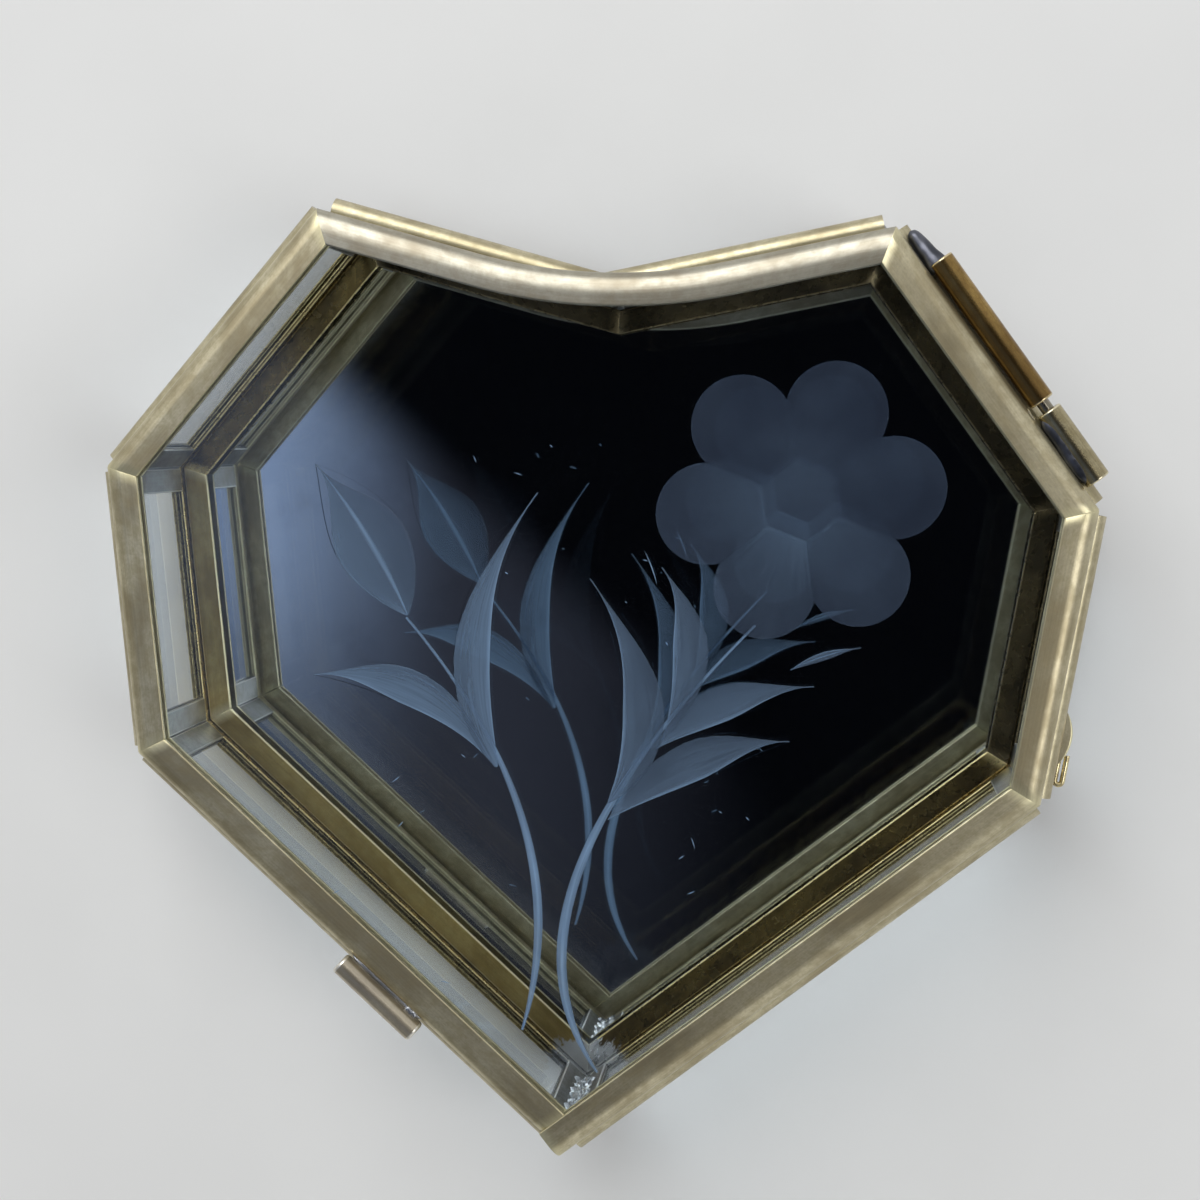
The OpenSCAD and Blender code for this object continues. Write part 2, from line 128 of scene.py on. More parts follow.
@dataclass(frozen=True)
class HeartPlan:
    """The heart's outline and the stock sizes that everything is set out from, in mm.

    Attributes:
        width: width of the outline.
        depth: its length from the lobes to the tip.
        lobe_x: distance of a lobe's corner from the middle line.
        side_drop: how far the widest corners lie in front of the lobes.
        hip_x: distance of the corners in front of those from the middle line.
        hip_drop: how far they lie in front of the lobes.
        notch_angle: slope of the notch's two sides, in degrees.
        glass_t: thickness of the glass.
        came_wall: thickness of a came's flanges and of its square back.
        round_back: thickness of a rounded back.
        wall_h: height of the walls with their cames.
        lid_gap: air between the rim and the lid.
        lid_step: how far the lid stands in from the walls.
        lid_back_step: how far it stands in at the notch.
        notch_r: radius of the bend at the lid's back.
        lid_came_d: depth of the lid's cames.
    """

    width: float = 127.0
    depth: float = 122.0
    lobe_x: float = 36.0
    side_drop: float = 34.9
    hip_x: float = 58.4
    hip_drop: float = 72.6
    notch_angle: float = 13.5
    glass_t: float = 2.0
    came_wall: float = 0.55
    round_back: float = 1.0
    wall_h: float = 28.6
    lid_gap: float = 0.1
    lid_step: float = 1.45
    lid_back_step: float = 2.0
    notch_r: float = 66.0
    lid_came_d: float = 4.1

    @property
    def came_t(self) -> float:
        """Outside thickness of every came."""
        return self.glass_t + 2 * self.came_wall

    @property
    def came_r(self) -> float:
        """Radius of a rounded came back."""
        return self.came_t / 2

    @property
    def lid_z(self) -> float:
        """Height of the lid's middle plane."""
        return self.wall_h + self.lid_gap + self.came_r

    def corner(self, i: int) -> Array:
        """Corner i of the outline, where wall i starts.

        Args:
            i: number of the corner, taken round the outline.

        Returns:
            Its place in the plan.
        """
        lobe_y = self.depth / 2
        notch_y = lobe_y - self.lobe_x * math.tan(math.radians(self.notch_angle))
        right = [
            (0.0, notch_y), (self.lobe_x, lobe_y), (self.width / 2, lobe_y - self.side_drop),
            (self.hip_x, lobe_y - self.hip_drop), (0.0, -lobe_y),
        ]
        i %= SIDES
        x, y = right[i] if i < len(right) else right[SIDES - i]
        return np.array([x if i < len(right) else -x, y])

    def along(self, i: int) -> Array:
        """Direction of wall i."""
        return unit(self.corner(i + 1) - self.corner(i))

    def inward(self, i: int) -> Array:
        """Direction from wall i into the box."""
        a = self.along(i)
        return np.array([a[1], -a[0]])

    def inset(self, i: int, before: float, after: Optional[float] = None) -> Array:
        """Corner i of the outline drawn inside its two walls.

        Args:
            i: number of the corner.
            before: distance inside the wall before the corner.
            after: distance inside the wall after it, or None for the same.

        Returns:
            The crossing of the two offset lines.
        """
        after = before if after is None else after
        n, m = self.inward(i - 1), self.inward(i)
        k = float(n @ m)
        return self.corner(i) + ((before - after * k) * n + (after - before * k) * m) / (1 - k * k)

    def trim(self, i: int) -> tuple[float, float]:
        """How much shorter wall i is than its side of the outline, at its start and end."""
        a = self.along(i)
        start = float((self.inset(i, self.came_t) - self.corner(i)) @ a)
        end = float((self.corner(i + 1) - self.inset(i + 1, self.came_t)) @ a)
        return max(0.0, start), max(0.0, end)

    def wall_ends(self, i: int) -> tuple[float, float]:
        """Start and end of wall i, along it from its corner."""
        start, end = self.trim(i)
        return start, float(np.linalg.norm(self.corner(i + 1) - self.corner(i))) - end

    def wall_point(self, i: int, s: Union[float, Array], n: Union[float, Array]) -> Array:
        """Point s along wall i from its corner and n inside its outer face."""
        s, n = np.broadcast_arrays(np.asarray(s, float), np.asarray(n, float))
        return self.corner(i) + s[..., None] * self.along(i) + n[..., None] * self.inward(i)

    def step(self, i: int) -> float:
        """How far the lid stands in from wall i."""
        back = i % SIDES in (Side.BACK_RIGHT.value, Side.BACK_LEFT.value)
        return self.lid_back_step if back else self.lid_step

    def lid_corner(self, i: int, before: float, after: Optional[float] = None) -> Array:
        """Corner i of the lid, drawn inside its edge as inset() draws the walls."""
        after = before if after is None else after
        return self.inset(i, self.step(i - 1) + before, self.step(i) + after)

    def notch_point(self, degrees: Array, n: Array) -> Array:
        """Points of the arc at the lid's back edge: centre + (radius + n)(sin a, -cos a)."""
        centre = self.lid_corner(0, 0.0) + np.array(
            [0.0, self.notch_r / math.cos(math.radians(self.notch_angle))])
        a, n = np.broadcast_arrays(np.radians(degrees), np.asarray(n, float))
        return centre + (self.notch_r + n)[..., None] * np.stack([np.sin(a), -np.cos(a)], -1)


PLAN = HeartPlan()


# ---------------------------------------------------------------- meshes


def ripple(s: Array, seed: int, waves: Waves) -> Array:
    """A gentle unevenness: a sum of sines of given lengths and heights, with seeded phases.

    Args:
        s: places along the piece, in mm.
        seed: seed of the phases.
        waves: length and height of each sine, in mm.

    Returns:
        Heights that never rise above 0, so that a piece stays inside its solid.
    """
    phases = np.random.default_rng(seed).uniform(0, FULL_TURN, len(waves))
    total = sum(h * (np.sin(FULL_TURN * s / length + p) - 1)
                for (length, h), p in zip(waves, phases))
    return np.asarray(total, float)


@dataclass
class Surface:
    """Points on a grid, in mm, that become one closed mesh.

    Rows run along the piece, and columns round it. UV holds mm along and round the piece,
    and wear is 1 on the edges that hands and cloths rub.
    """

    points: Array
    along: Array
    about: Array
    wear: Array

    def faces(self) -> tuple[Array, list[Array]]:
        """Quads between neighbouring rows and columns, and the two end faces."""
        rows, cols = self.points.shape[:2]
        r = np.arange(rows - 1)[:, None]
        c = np.arange(cols)[None, :]
        d = (c + 1) % cols
        quads = np.stack([r * cols + c, r * cols + d, (r + 1) * cols + d, (r + 1) * cols + c], -1)
        ring = np.arange(cols)
        return quads.reshape(-1, 4), [ring[::-1], (rows - 1) * cols + ring]

    def corner_uv(self) -> Array:
        """UV of every face corner, with the last column's quads closed past the seam."""
        rows, cols = self.points.shape[:2]
        u = np.broadcast_to(self.along, (rows, cols))
        v = np.append(self.about, self.about[-1] + (self.about[-1] - self.about[-2]))
        w = np.broadcast_to(v, (rows, cols + 1))
        un = np.roll(u, -1, axis=1)
        quads = np.stack([
            np.stack([u[:-1], w[:-1, :-1]], -1), np.stack([un[:-1], w[:-1, 1:]], -1),
            np.stack([un[1:], w[1:, 1:]], -1), np.stack([u[1:], w[1:, :-1]], -1)], 2)
        caps = [np.stack([u[0], w[0, :-1]], -1)[::-1], np.stack([u[-1], w[-1, :-1]], -1)]
        return np.concatenate([quads.reshape(-1, 2)] + caps)


def volume(points: Array, quads: Array) -> float:
    """Signed volume of a grid of quads: the sum of a . (b x c) / 6 over its triangles."""
    a, b, c, d = (points[quads[:, k]] for k in range(4))
    return float(((a * np.cross(b, c)).sum() + (a * np.cross(c, d)).sum()) / 6)


PATTERN_STEP = 13.7   # mm between two of the places at which a piece's pattern can start
PATTERN_PLACES = 89   # how many such places there are
CREASE = 35.0         # degrees between two faces, above which their edge stays sharp


def own_shift(name: str) -> float:
    """How far a piece's pattern is moved along it, in mm, so that no two pieces match."""
    return PATTERN_STEP * (sum(map(ord, name)) % PATTERN_PLACES)


def linked(name: str, data: bpy.types.ID) -> bpy.types.Object:
    """A new object that shows the data, linked to the scene."""
    made = bpy.data.objects.new(name, data)
    bpy.context.scene.collection.objects.link(made)
    return made


def write_mesh(name: str, points: Array, faces: Sequence[Sequence[int]], uv: Array, wear: Array,
               crease: float) -> bpy.types.Object:
    """Puts a closed surface into a new object at the origin.

    Args:
        name: name of the piece.
        points: its points, in mm.
        faces: the points of each face, turned outwards.
        uv: UV of each face corner, in mm.
        wear: value of each point for the attribute "wear".
        crease: edges sharper than this angle, in degrees, stay sharp.

    Returns:
        The linked object, smooth but for its sharp edges.
    """
    data = bpy.data.meshes.new(name)
    data.from_pydata((points * MM).tolist(), [], faces)
    uv = uv + [own_shift(name), 0.0]
    data.uv_layers.new(name="UVMap").uv.foreach_set("vector", uv.astype(np.float32).ravel())
    attribute = data.attributes.new("wear", "FLOAT", "POINT")
    attribute.data.foreach_set("value", np.ascontiguousarray(wear, np.float32).ravel())
    data.shade_smooth()
    data.set_sharp_from_angle(angle=math.radians(crease))
    data.update()
    return linked(name, data)


def outwards(points: Array, quads: Array) -> bool:
    """Whether the quads of a closed surface are turned outwards."""
    return volume(points - points.mean(0), quads) >= 0


def make_mesh(name: str, surface: Surface, crease: float = CREASE) -> bpy.types.Object:
    """Makes the object of a closed grid surface.

    Args:
        name: name of the piece.
        surface: its points, UV and wear.
        crease: edges sharper than this angle, in degrees, stay sharp.

    Returns:
        The linked object, with its faces pointing outwards.
    """
    quads, caps = surface.faces()
    points = surface.points.reshape(-1, 3)
    uv = surface.corner_uv()
    if not outwards(points, quads):
        uv = np.concatenate([uv[: quads.size].reshape(-1, 4, 2)[:, ::-1].reshape(-1, 2),
                             uv[quads.size:][: len(caps[0])][::-1],
                             uv[quads.size + len(caps[0]):][::-1]])
        quads = quads[:, ::-1]
        caps = [cap[::-1] for cap in caps]
    faces = quads.tolist() + [cap.tolist() for cap in caps]
    wear = np.broadcast_to(surface.wear, surface.points.shape[:2])
    return write_mesh(name, points, faces, uv, wear, crease)


def make_slab(name: str, upper: Array, lower: Array, uv: Array, shade: Array,
              crease: float = 40.0) -> bpy.types.Object:
    """Makes a slab of two facing grids, with a wall of quads round their shared border.

    Args:
        name: name of the piece.
        upper: grid of points, in mm.
        lower: the points under them.
        uv: UV of each point, in mm.
        shade: value of each point for the attribute "wear".
        crease: edges sharper than this angle, in degrees, stay sharp.

    Returns:
        The linked object, with its faces pointing outwards.
    """
    rows, cols = upper.shape[:2]
    count = rows * cols
    index = np.arange(count).reshape(rows, cols)
    grid = np.stack([index[:-1, :-1], index[:-1, 1:], index[1:, 1:], index[1:, :-1]], -1)
    grid = grid.reshape(-1, 4)
    ring = np.concatenate([index[0], index[1:, -1], index[-1, -2::-1], index[-2:0:-1, 0]])
    after = np.roll(ring, -1)
    wall = np.stack([after, ring, ring + count, after + count], -1)
    quads = np.concatenate([grid, grid[:, ::-1] + count, wall])
    points = np.concatenate([upper.reshape(-1, 3), lower.reshape(-1, 3)])
    if not outwards(points, quads):
        quads = quads[:, ::-1]
    flat = np.concatenate([uv.reshape(-1, 2)] * 2)
    wear = np.concatenate([shade.ravel()] * 2)
    return write_mesh(name, points, quads.tolist(), flat[quads.ravel()], wear, crease)


def install(piece: bpy.types.Object, body: Body, slot: str, material: bpy.types.Material,
            *nodes: str) -> bpy.types.Object:
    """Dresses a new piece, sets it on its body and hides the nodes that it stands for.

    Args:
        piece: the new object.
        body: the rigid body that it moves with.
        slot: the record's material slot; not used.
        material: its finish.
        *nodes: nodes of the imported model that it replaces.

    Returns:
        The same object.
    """
    piece.data.materials.append(material)
    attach(piece, body.value)
    if nodes:
        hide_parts(*nodes)
    LOG.info("%s: %d faces on the %s", piece.name, len(piece.data.polygons), body.value)
    return piece


@dataclass(frozen=True)
class Corner:
    """A corner of a profile: its place, its rounding and how much it is rubbed."""

    x: float
    y: float
    radius: float = 0.0
    wear: float = 1.0


GUARD = 0.05        # mm between a rounding and the point that keeps the flat beside it flat


def rounded(corners: Sequence[Corner], steps: int = 5) -> tuple[Array, Array]:
    """Closed outline with its corners rounded.

    At each corner an arc of the given radius touches both sides: its centre lies on the
    bisector at radius / sin(half angle), and it starts radius / tan(half angle) along
    each side. A guard point follows on each side, so that shading stays flat there.

    Args:
        corners: the corners, in order.
        steps: faces on each rounding of 90 degrees.

    Returns:
        The points and their wear.
    """
    at = np.array([(c.x, c.y) for c in corners], float)
    points: list[Array] = []
    wear: list[Array] = []
    for k, corner in enumerate(corners):
        p, u, v = at[k], unit(at[k - 1] - at[k]), unit(at[(k + 1) % len(at)] - at[k])
        if corner.radius <= 0:
            points.append(p[None])
            wear.append(np.zeros(1))
            continue
        half = math.acos(float(np.clip(u @ v, -1, 1))) / 2
        run = corner.radius / math.tan(half)
        centre = p + unit(u + v) * corner.radius / math.sin(half)
        start, end = p + u * run - centre, p + v * run - centre
        sweep = math.pi - 2 * half
        count = max(2, round(steps * sweep / (math.pi / 2)))
        t = np.linspace(0, 1, count + 1)[:, None]
        arc = centre + (np.sin((1 - t) * sweep) * start + np.sin(t * sweep) * end) / math.sin(sweep)
        points += [(p + u * (run + GUARD))[None], arc, (p + v * (run + GUARD))[None]]
        wear += [np.zeros(1), np.full(count + 1, corner.wear), np.zeros(1)]
    return np.concatenate(points), np.concatenate(wear)


def girth(profile: Array) -> Array:
    """Distance round a profile at each of its points."""
    return np.concatenate([[0.0], np.cumsum(np.linalg.norm(np.diff(profile, axis=0), axis=1))])


@dataclass(frozen=True)
class CameStock:
    """Brass channel, in mm: two flanges and a back, drawn with n from the back and z up.

    Attributes:
        depth: from the back to the flanges' lips.
        rounded_back: whether the back is half an ellipse, not square.
        crest: depth of that half ellipse.
        lip: rounding of the lips.
        lip_wear: how much the lips are rubbed.
        edge: rounding of a square back's edges.
        crest_wear: how much the top of a rounded back is rubbed.
    """

    depth: float
    rounded_back: bool
    crest: float = 1.55
    lip: float = 0.16
    lip_wear: float = 0.9
    edge: float = 0.22
    crest_wear: float = 0.2

    def profile(self, plan: HeartPlan) -> tuple[Array, Array]:
        """Closed outline of the channel and its wear, with the back at n = 0.

        A rounded back is half an ellipse, n = crest (1 - cos a) and z = r sin a.

        Args:
            plan: holds the stock's thicknesses.

        Returns:
            Points (n, z) about the middle of the slot, and wear.
        """
        r, g = plan.came_r, plan.glass_t / 2
        back = plan.round_back if self.rounded_back else plan.came_wall
        slot = [
            Corner(self.depth, -r, self.lip, self.lip_wear),
            Corner(self.depth, -g, self.lip / 2, self.lip_wear), Corner(back, -g), Corner(back, g),
            Corner(self.depth, g, self.lip / 2, self.lip_wear),
            Corner(self.depth, r, self.lip, self.lip_wear)]
        if not self.rounded_back:
            return rounded([Corner(0, -r, self.edge), *slot, Corner(0, r, self.edge)])
        points, wear = rounded([Corner(self.crest, -r), *slot, Corner(self.crest, r)])
        a = np.linspace(math.pi / 2, -math.pi / 2, 25)[1:-1]
        arc = np.stack([self.crest * (1 - np.cos(a)), r * np.sin(a)], -1)
        crest = self.crest_wear * np.cos(a) ** 4
        return np.concatenate([points, arc]), np.concatenate([wear, crest])


STATION = 1.5       # mm between the rows of a came
GROOVE = 0.09       # mm over which a filed end falls away
FILED = 0.955       # share of the section that is left at a filed end
END_WEAR = 0.7      # least wear of the rows at a came's ends
HAND_WAVES = ((31.0, 0.018), (13.0, 0.010), (5.3, 0.005))   # a hand-bent came's unevenness


def lying_came(name: str, start: Callable[[Array], Array], end: Callable[[Array], Array],
               stock: CameStock, z: float, seed: int) -> bpy.types.Object:
    """A straight came that lies flat round a pane.

    Each line of its profile runs straight from start(n) to end(n), so any cut at the ends
    comes out true. The last rows shrink towards the middle of the section, as filed ends do.

    Args:
        name: name of the piece.
        start: end point of the line n inside the edge, where the came starts.
        end: the same where it ends.
        stock: the channel.
        z: height of the middle of the slot.
        seed: seed of its unevenness.

    Returns:
        The piece.
    """
    profile, wear = stock.profile(PLAN)
    n, dz = profile.T
    a, b = start(n), end(n)
    length = float(np.linalg.norm(b[0] - a[0]))
    t = np.linspace(0, 1, max(3, round(length / STATION)))
    t = np.concatenate([[0, GROOVE / length], t[1:-1], [1 - GROOVE / length, 1]])
    plan = a[None] * (1 - t)[:, None, None] + b[None] * t[:, None, None]
    drop = ripple(t * length, seed, HAND_WAVES)[:, None] * np.ones(len(n))
    height = z + dz + drop
    filed = stock.depth / 2 + (n - stock.depth / 2) * FILED
    plan[0], plan[-1] = start(filed), end(filed)
    height[0], height[-1] = z + dz * FILED, z + dz * FILED
    rubbed = np.broadcast_to(wear, height.shape).copy()
    ends = [0, 1, -2, -1]
    rubbed[ends] = np.maximum(rubbed[ends], END_WEAR)
    return make_mesh(name, Surface(raised(plan, height), (t * length)[:, None], girth(profile),
                                   rubbed))


def wall_came(name: str, side: Side, z: float, stock: CameStock, opens_down: bool,
              seed: int) -> bpy.types.Object:
    """A came along the top or the foot of a wall, with square ends.

    Args:
        name: name of the piece.
        side: its wall.
        z: height of its back.
        stock: the channel.
        opens_down: True on top of the wall, False under it.
        seed: seed of its unevenness.

    Returns:
        The piece.
    """
    profile, wear = stock.profile(PLAN)
    down, across = profile.T
    first, last = PLAN.wall_ends(side.value)
    s = np.linspace(first, last, max(3, round((last - first) / STATION)))
    plan = PLAN.wall_point(side.value, s[:, None], PLAN.came_r + across[None])
    sag = ripple(s, seed, HAND_WAVES)[:, None] if opens_down else np.zeros((len(s), 1))
    height = (z - down if opens_down else z + down)[None] + sag
    return make_mesh(name, Surface(raised(plan, height), (s - first)[:, None], girth(profile),
                                   wear))


def upright_came(name: str, side: Side, at_start: bool, low: float, high: float,
                 stock: CameStock) -> bpy.types.Object:
    """One upright came at the end of a wall.

    Args:
        name: name of the piece.
        side: its wall.
        at_start: True at the wall's start, False at its end.
        low: height of its lower end.
        high: height of its upper end.
        stock: the channel.

    Returns:
        The piece.
    """
    profile, wear = stock.profile(PLAN)
    depth, across = profile.T
    first, last = PLAN.wall_ends(side.value)
    s = first + depth if at_start else last - depth
    plan = PLAN.wall_point(side.value, s, PLAN.came_r + across)
    z = np.linspace(low, high, max(3, round((high - low) / STATION)))
    points = raised(np.broadcast_to(plan, (len(z),) + plan.shape), z[:, None])
    return make_mesh(name, Surface(points, (z - low)[:, None], girth(profile), wear))


def turned(name: str, origin: Array, axis: Array, profile: Array, wear: Array,
           sides: int = 48) -> bpy.types.Object:
    """A closed ring turned round an axis: point = origin + x axis + r (cos a, sin a).

    Args:
        name: name of the piece.
        origin: start of the axis.
        axis: its direction.
        profile: closed outline (x along, r out).
        wear: wear of each profile point.
        sides: faces round the axis.

    Returns:
        The piece, whose profile runs along the columns.
    """
    axis = unit(axis)
    up = np.array([0.0, 0.0, 1.0])
    side = unit(np.cross(up, axis))
    a = np.linspace(0, FULL_TURN, sides, endpoint=False)
    spoke = np.cos(a)[:, None] * side + np.sin(a)[:, None] * np.cross(axis, side)
    points = origin + profile[None, :, :1] * axis + profile[None, :, 1:] * spoke[:, None]
    rows, cols = points.shape[:2]
    r, c = np.arange(rows)[:, None], np.arange(cols)[None]
    r2, c2 = (r + 1) % rows, (c + 1) % cols
    quads = np.stack([r * cols + c, r * cols + c2, r2 * cols + c2, r2 * cols + c], -1).reshape(-1, 4)
    flat = points.reshape(-1, 3)
    if not outwards(flat, quads):
        quads = quads[:, ::-1]
    turn = np.repeat(a, cols) * profile[:, 1].max()
    uv = np.stack([np.tile(girth(profile), rows), turn], -1)[quads.ravel()]
    return write_mesh(name, flat, quads.tolist(), uv, np.tile(wear, rows), CREASE)


def tube_profile(length: float, outer: float, bore: float, rounding: float) -> tuple[Array, Array]:
    """Outline of a tube's wall, from its start to its end, with rounded outer edges.

    Args:
        length: length of the tube.
        outer: outside radius.
        bore: inside radius.
        rounding: radius of the outer edges.

    Returns:
        Points (x along, r out) and their wear.
    """
    inner = rounding / 4
    return rounded([Corner(0, bore, inner), Corner(0, outer, rounding),
                    Corner(length, outer, rounding), Corner(length, bore, inner)])


BLOB_SIDES = 28     # faces round a run of solder
BLOB_WAVES = 5      # sines that roughen it
BLOB_CREASE = 80.0  # degrees between two of its faces, above which their edge stays sharp


def blob(name: str, path: Array, across: Array, upward: Array, seed: int,
         roughness: float = 0.12) -> bpy.types.Object:
    """A run of solder: an oval tube along a path, uneven in width and closed at its ends.

    The half sizes fall to nothing at both ends as sqrt(1 - x^6), and a sum of sines in
    length and angle roughens them.

    Args:
        name: name of the piece.
        path: points of its middle line.
        across: half width, sideways, at each point.
        upward: half height at each point.
        seed: seed of its unevenness.
        roughness: how much the unevenness takes off the size, as a share.

    Returns:
        The piece.
    """
    rows, cols = len(path), BLOB_SIDES
    x = np.linspace(-1, 1, rows)
    ends = np.sqrt(np.clip(1 - np.abs(x) ** 6, 0.002, 1))
    a = np.linspace(0, FULL_TURN, cols, endpoint=False)
    rng = np.random.default_rng(seed)
    bumps = np.zeros((rows, cols))
    for k in range(1, BLOB_WAVES + 1):
        p, q, turns = rng.uniform(0, FULL_TURN, 3)
        bumps += np.sin(x[:, None] * (2.1 * k + turns) + p) * np.sin(k * a[None] + q) / k
    scale = ends[:, None] * (1 - roughness * (1 - bumps / np.abs(bumps).max()) / 2)
    up = np.array([0.0, 0.0, 1.0])
    side = units(np.cross(up, units(np.gradient(path, axis=0))))
    points = (path[:, None] + (scale * across[:, None] * np.cos(a))[..., None] * side[:, None]
              + (scale * upward[:, None] * np.sin(a))[..., None] * up)
    return make_mesh(name, Surface(points, girth(path)[:, None], a, np.zeros(cols)), BLOB_CREASE)


# ---------------------------------------------------------------- finishes


class Shader:
    """The node tree of one material or world, with short ways to add what it needs."""

    def __init__(self, name: str, world: Optional[bpy.types.World] = None) -> None:
        """Starts an empty tree.

        Args:
            name: name of the new material, where no world is given.
            world: the world that the tree belongs to, or None for a new material.
        """
        self.owner = world or bpy.data.materials.new(name)
        self.owner.use_nodes = True
        self.tree = self.owner.node_tree
        self.tree.nodes.clear()

    def put(self, socket: Socket, value: Value) -> None:
        """Links a socket to another, or sets it to a number or a colour."""
        if isinstance(value, bpy.types.NodeSocket):
            self.tree.links.new(value, socket)
        elif hasattr(socket.default_value, "__len__") and not hasattr(value, "__len__"):
            socket.default_value = [value] * len(socket.default_value)
        elif hasattr(value, "__len__") and len(value) == 3 and len(socket.default_value) == 4:
            socket.default_value = (*value, 1.0)
        else:
            socket.default_value = value

    def node(self, kind: str, inputs: Optional[dict[Union[str, int], Value]] = None,
             **settings: object) -> bpy.types.Node:
        """Adds a node, sets its properties and feeds its inputs.

        Args:
            kind: type of node, without the leading ShaderNode.
            inputs: input name or number to value.
            **settings: properties of the node.

        Returns:
            The node.
        """
        made = self.tree.nodes.new("ShaderNode" + kind)
        for key, value in settings.items():
            setattr(made, key, value)
        for key, value in (inputs or {}).items():
            self.put(made.inputs[key], value)
        return made

    def place(self) -> Socket:
        """Object coordinates, in metres."""
        return self.node("TexCoord").outputs["Object"]

    def surface_uv(self, u: float, v: float) -> Socket:
        """The piece's own UV, mm along and round it, scaled by u and v."""
        uv = self.node("UVMap", uv_map="UVMap").outputs["UV"]
        return self.node("Mapping", {"Vector": uv, "Scale": (u, v, 1.0)}).outputs["Vector"]

    def noise(self, vector: Socket, scale: float, detail: float = 3.0, rough: float = 0.5) -> Socket:
        """Noise with features of about 1 / scale of the vector's unit."""
        return self.node("TexNoise", {"Vector": vector, "Scale": scale, "Detail": detail,
                                      "Roughness": rough}).outputs["Fac"]

    def span(self, value: Socket, low: float, high: float, to_low: float = 0.0,
             to_high: float = 1.0) -> Socket:
        """The value, mapped from one range to another and kept inside it."""
        return self.node("MapRange", {"Value": value, "From Min": low, "From Max": high,
                                      "To Min": to_low, "To Max": to_high},
                         interpolation_type="SMOOTHSTEP").outputs["Result"]

    def maths(self, operation: str, a: Value, b: Value = 0.0) -> Socket:
        """One sum of two values."""
        return self.node("Math", {0: a, 1: b}, operation=operation).outputs[0]

    def blend(self, share: Value, a: Value, b: Value) -> Socket:
        """Colour a, turning into b as share goes from 0 to 1."""
        return self.node("Mix", {0: share, 6: a, 7: b}, data_type="RGBA").outputs[2]

    def seen(self) -> Socket:
        """1 for rays from the camera, off gloss or through glass, and 0 for the light's."""
        path = self.node("LightPath").outputs
        looks = self.maths("ADD", path["Is Camera Ray"], self.maths(
            "ADD", path["Is Glossy Ray"], path["Is Transmission Ray"]))
        return self.maths("MINIMUM", looks, 1.0)

    def wear(self) -> Socket:
        """The attribute wear: rubbed edges on metal, and on the cuts how hard the wheel ground,
        with the petals' painted light.
        """
        return self.node("Attribute", attribute_name="wear").outputs["Fac"]

    def bump(self, height: Socket, strength: float, distance: float) -> Socket:
        """A normal tilted by a height."""
        return self.node("Bump", {"Height": height, "Strength": strength,
                                  "Distance": distance}).outputs["Normal"]

    def mixed(self, share: Value, a: Socket, b: Socket) -> Socket:
        """Shader a, turning into b as share goes from 0 to 1."""
        return self.node("MixShader", {0: share, 1: a, 2: b}).outputs[0]

    def done(self, surface: Socket) -> bpy.types.Material:
        """Ends the tree with its surface and returns the material."""
        self.node("OutputMaterial", {"Surface": surface})
        return self.owner


@dataclass(frozen=True)
class AgedBrass:
    """Satin brass with a soft tarnish along it, drawn lines and paler rubbed edges."""

    name: str
    clean: tuple[float, float, float]
    tarnish: tuple[float, float, float]
    stain: tuple[float, float, float]
    rubbed: tuple[float, float, float]
    rough: tuple[float, float] = (0.34, 0.39)
    metallic: float = 0.82
    rub: float = 0.75
    grain: float = 0.3
    tinned_tip: float = 0.0
    tin: tuple[float, float, float] = (0.50, 0.52, 0.55)

    def material(self) -> bpy.types.Material:
        """Builds the finish, with stains of about 11 by 5 mm, mottling of 2 mm and grain of
        0.4 mm, and lines 0.2 mm apart.

        Returns:
            A material whose tarnish, grain and drawn lines follow the piece by its UV,
            whose edges are rubbed by its wear, and which may be tinned near the box's tip.
        """
        s = Shader(self.name)
        patch = s.span(s.noise(s.surface_uv(0.09, 0.2), 1.0, 3.0), 0.40, 0.66)
        mottle = s.span(s.noise(s.surface_uv(0.55, 0.7), 1.0, 3.0, 0.6), 0.35, 0.68)
        grain = s.span(s.noise(s.surface_uv(2.6, 3.4), 1.0, 2.0, 0.6), 0.35, 0.75)
        lines = s.noise(s.surface_uv(0.06, 5.0), 1.0, 2.0)
        colour = s.blend(s.maths("MULTIPLY", mottle, 0.65), self.clean, self.tarnish)
        colour = s.blend(s.maths("MULTIPLY", patch, 0.75), colour, self.stain)
        colour = s.blend(s.maths("MULTIPLY", grain, self.grain), colour, self.stain)
        colour = s.blend(s.span(lines, 0.25, 0.75, 0.16, 0.0), colour, (0.05, 0.04, 0.03))
        rub = s.maths("MULTIPLY", s.wear(), s.span(lines, 0.2, 0.6, self.rub * 0.75, self.rub))
        colour = s.blend(rub, colour, self.rubbed)
        if self.tinned_tip:
            tip = tuple(np.append(PLAN.corner(Side.LOWER_LEFT.value), PLAN.came_t) * MM)
            far = s.node("VectorMath", {0: s.place(), 1: tip}, operation="DISTANCE")
            edge = s.maths("ADD", far.outputs["Value"], s.maths("MULTIPLY", mottle, 0.002))
            tinned = s.span(edge, self.tinned_tip * MM, self.tinned_tip * MM + 0.001, 0.85, 0.0)
            colour = s.blend(tinned, colour, self.tin)
        rough = s.span(mottle, 0.0, 1.0, self.rough[0], self.rough[1])
        metal = s.node("BsdfPrincipled", {
            "Base Color": colour, "Metallic": self.metallic, "Roughness": rough,
            "Normal": s.bump(lines, 0.10, 0.00002)})
        return s.done(metal.outputs[0])


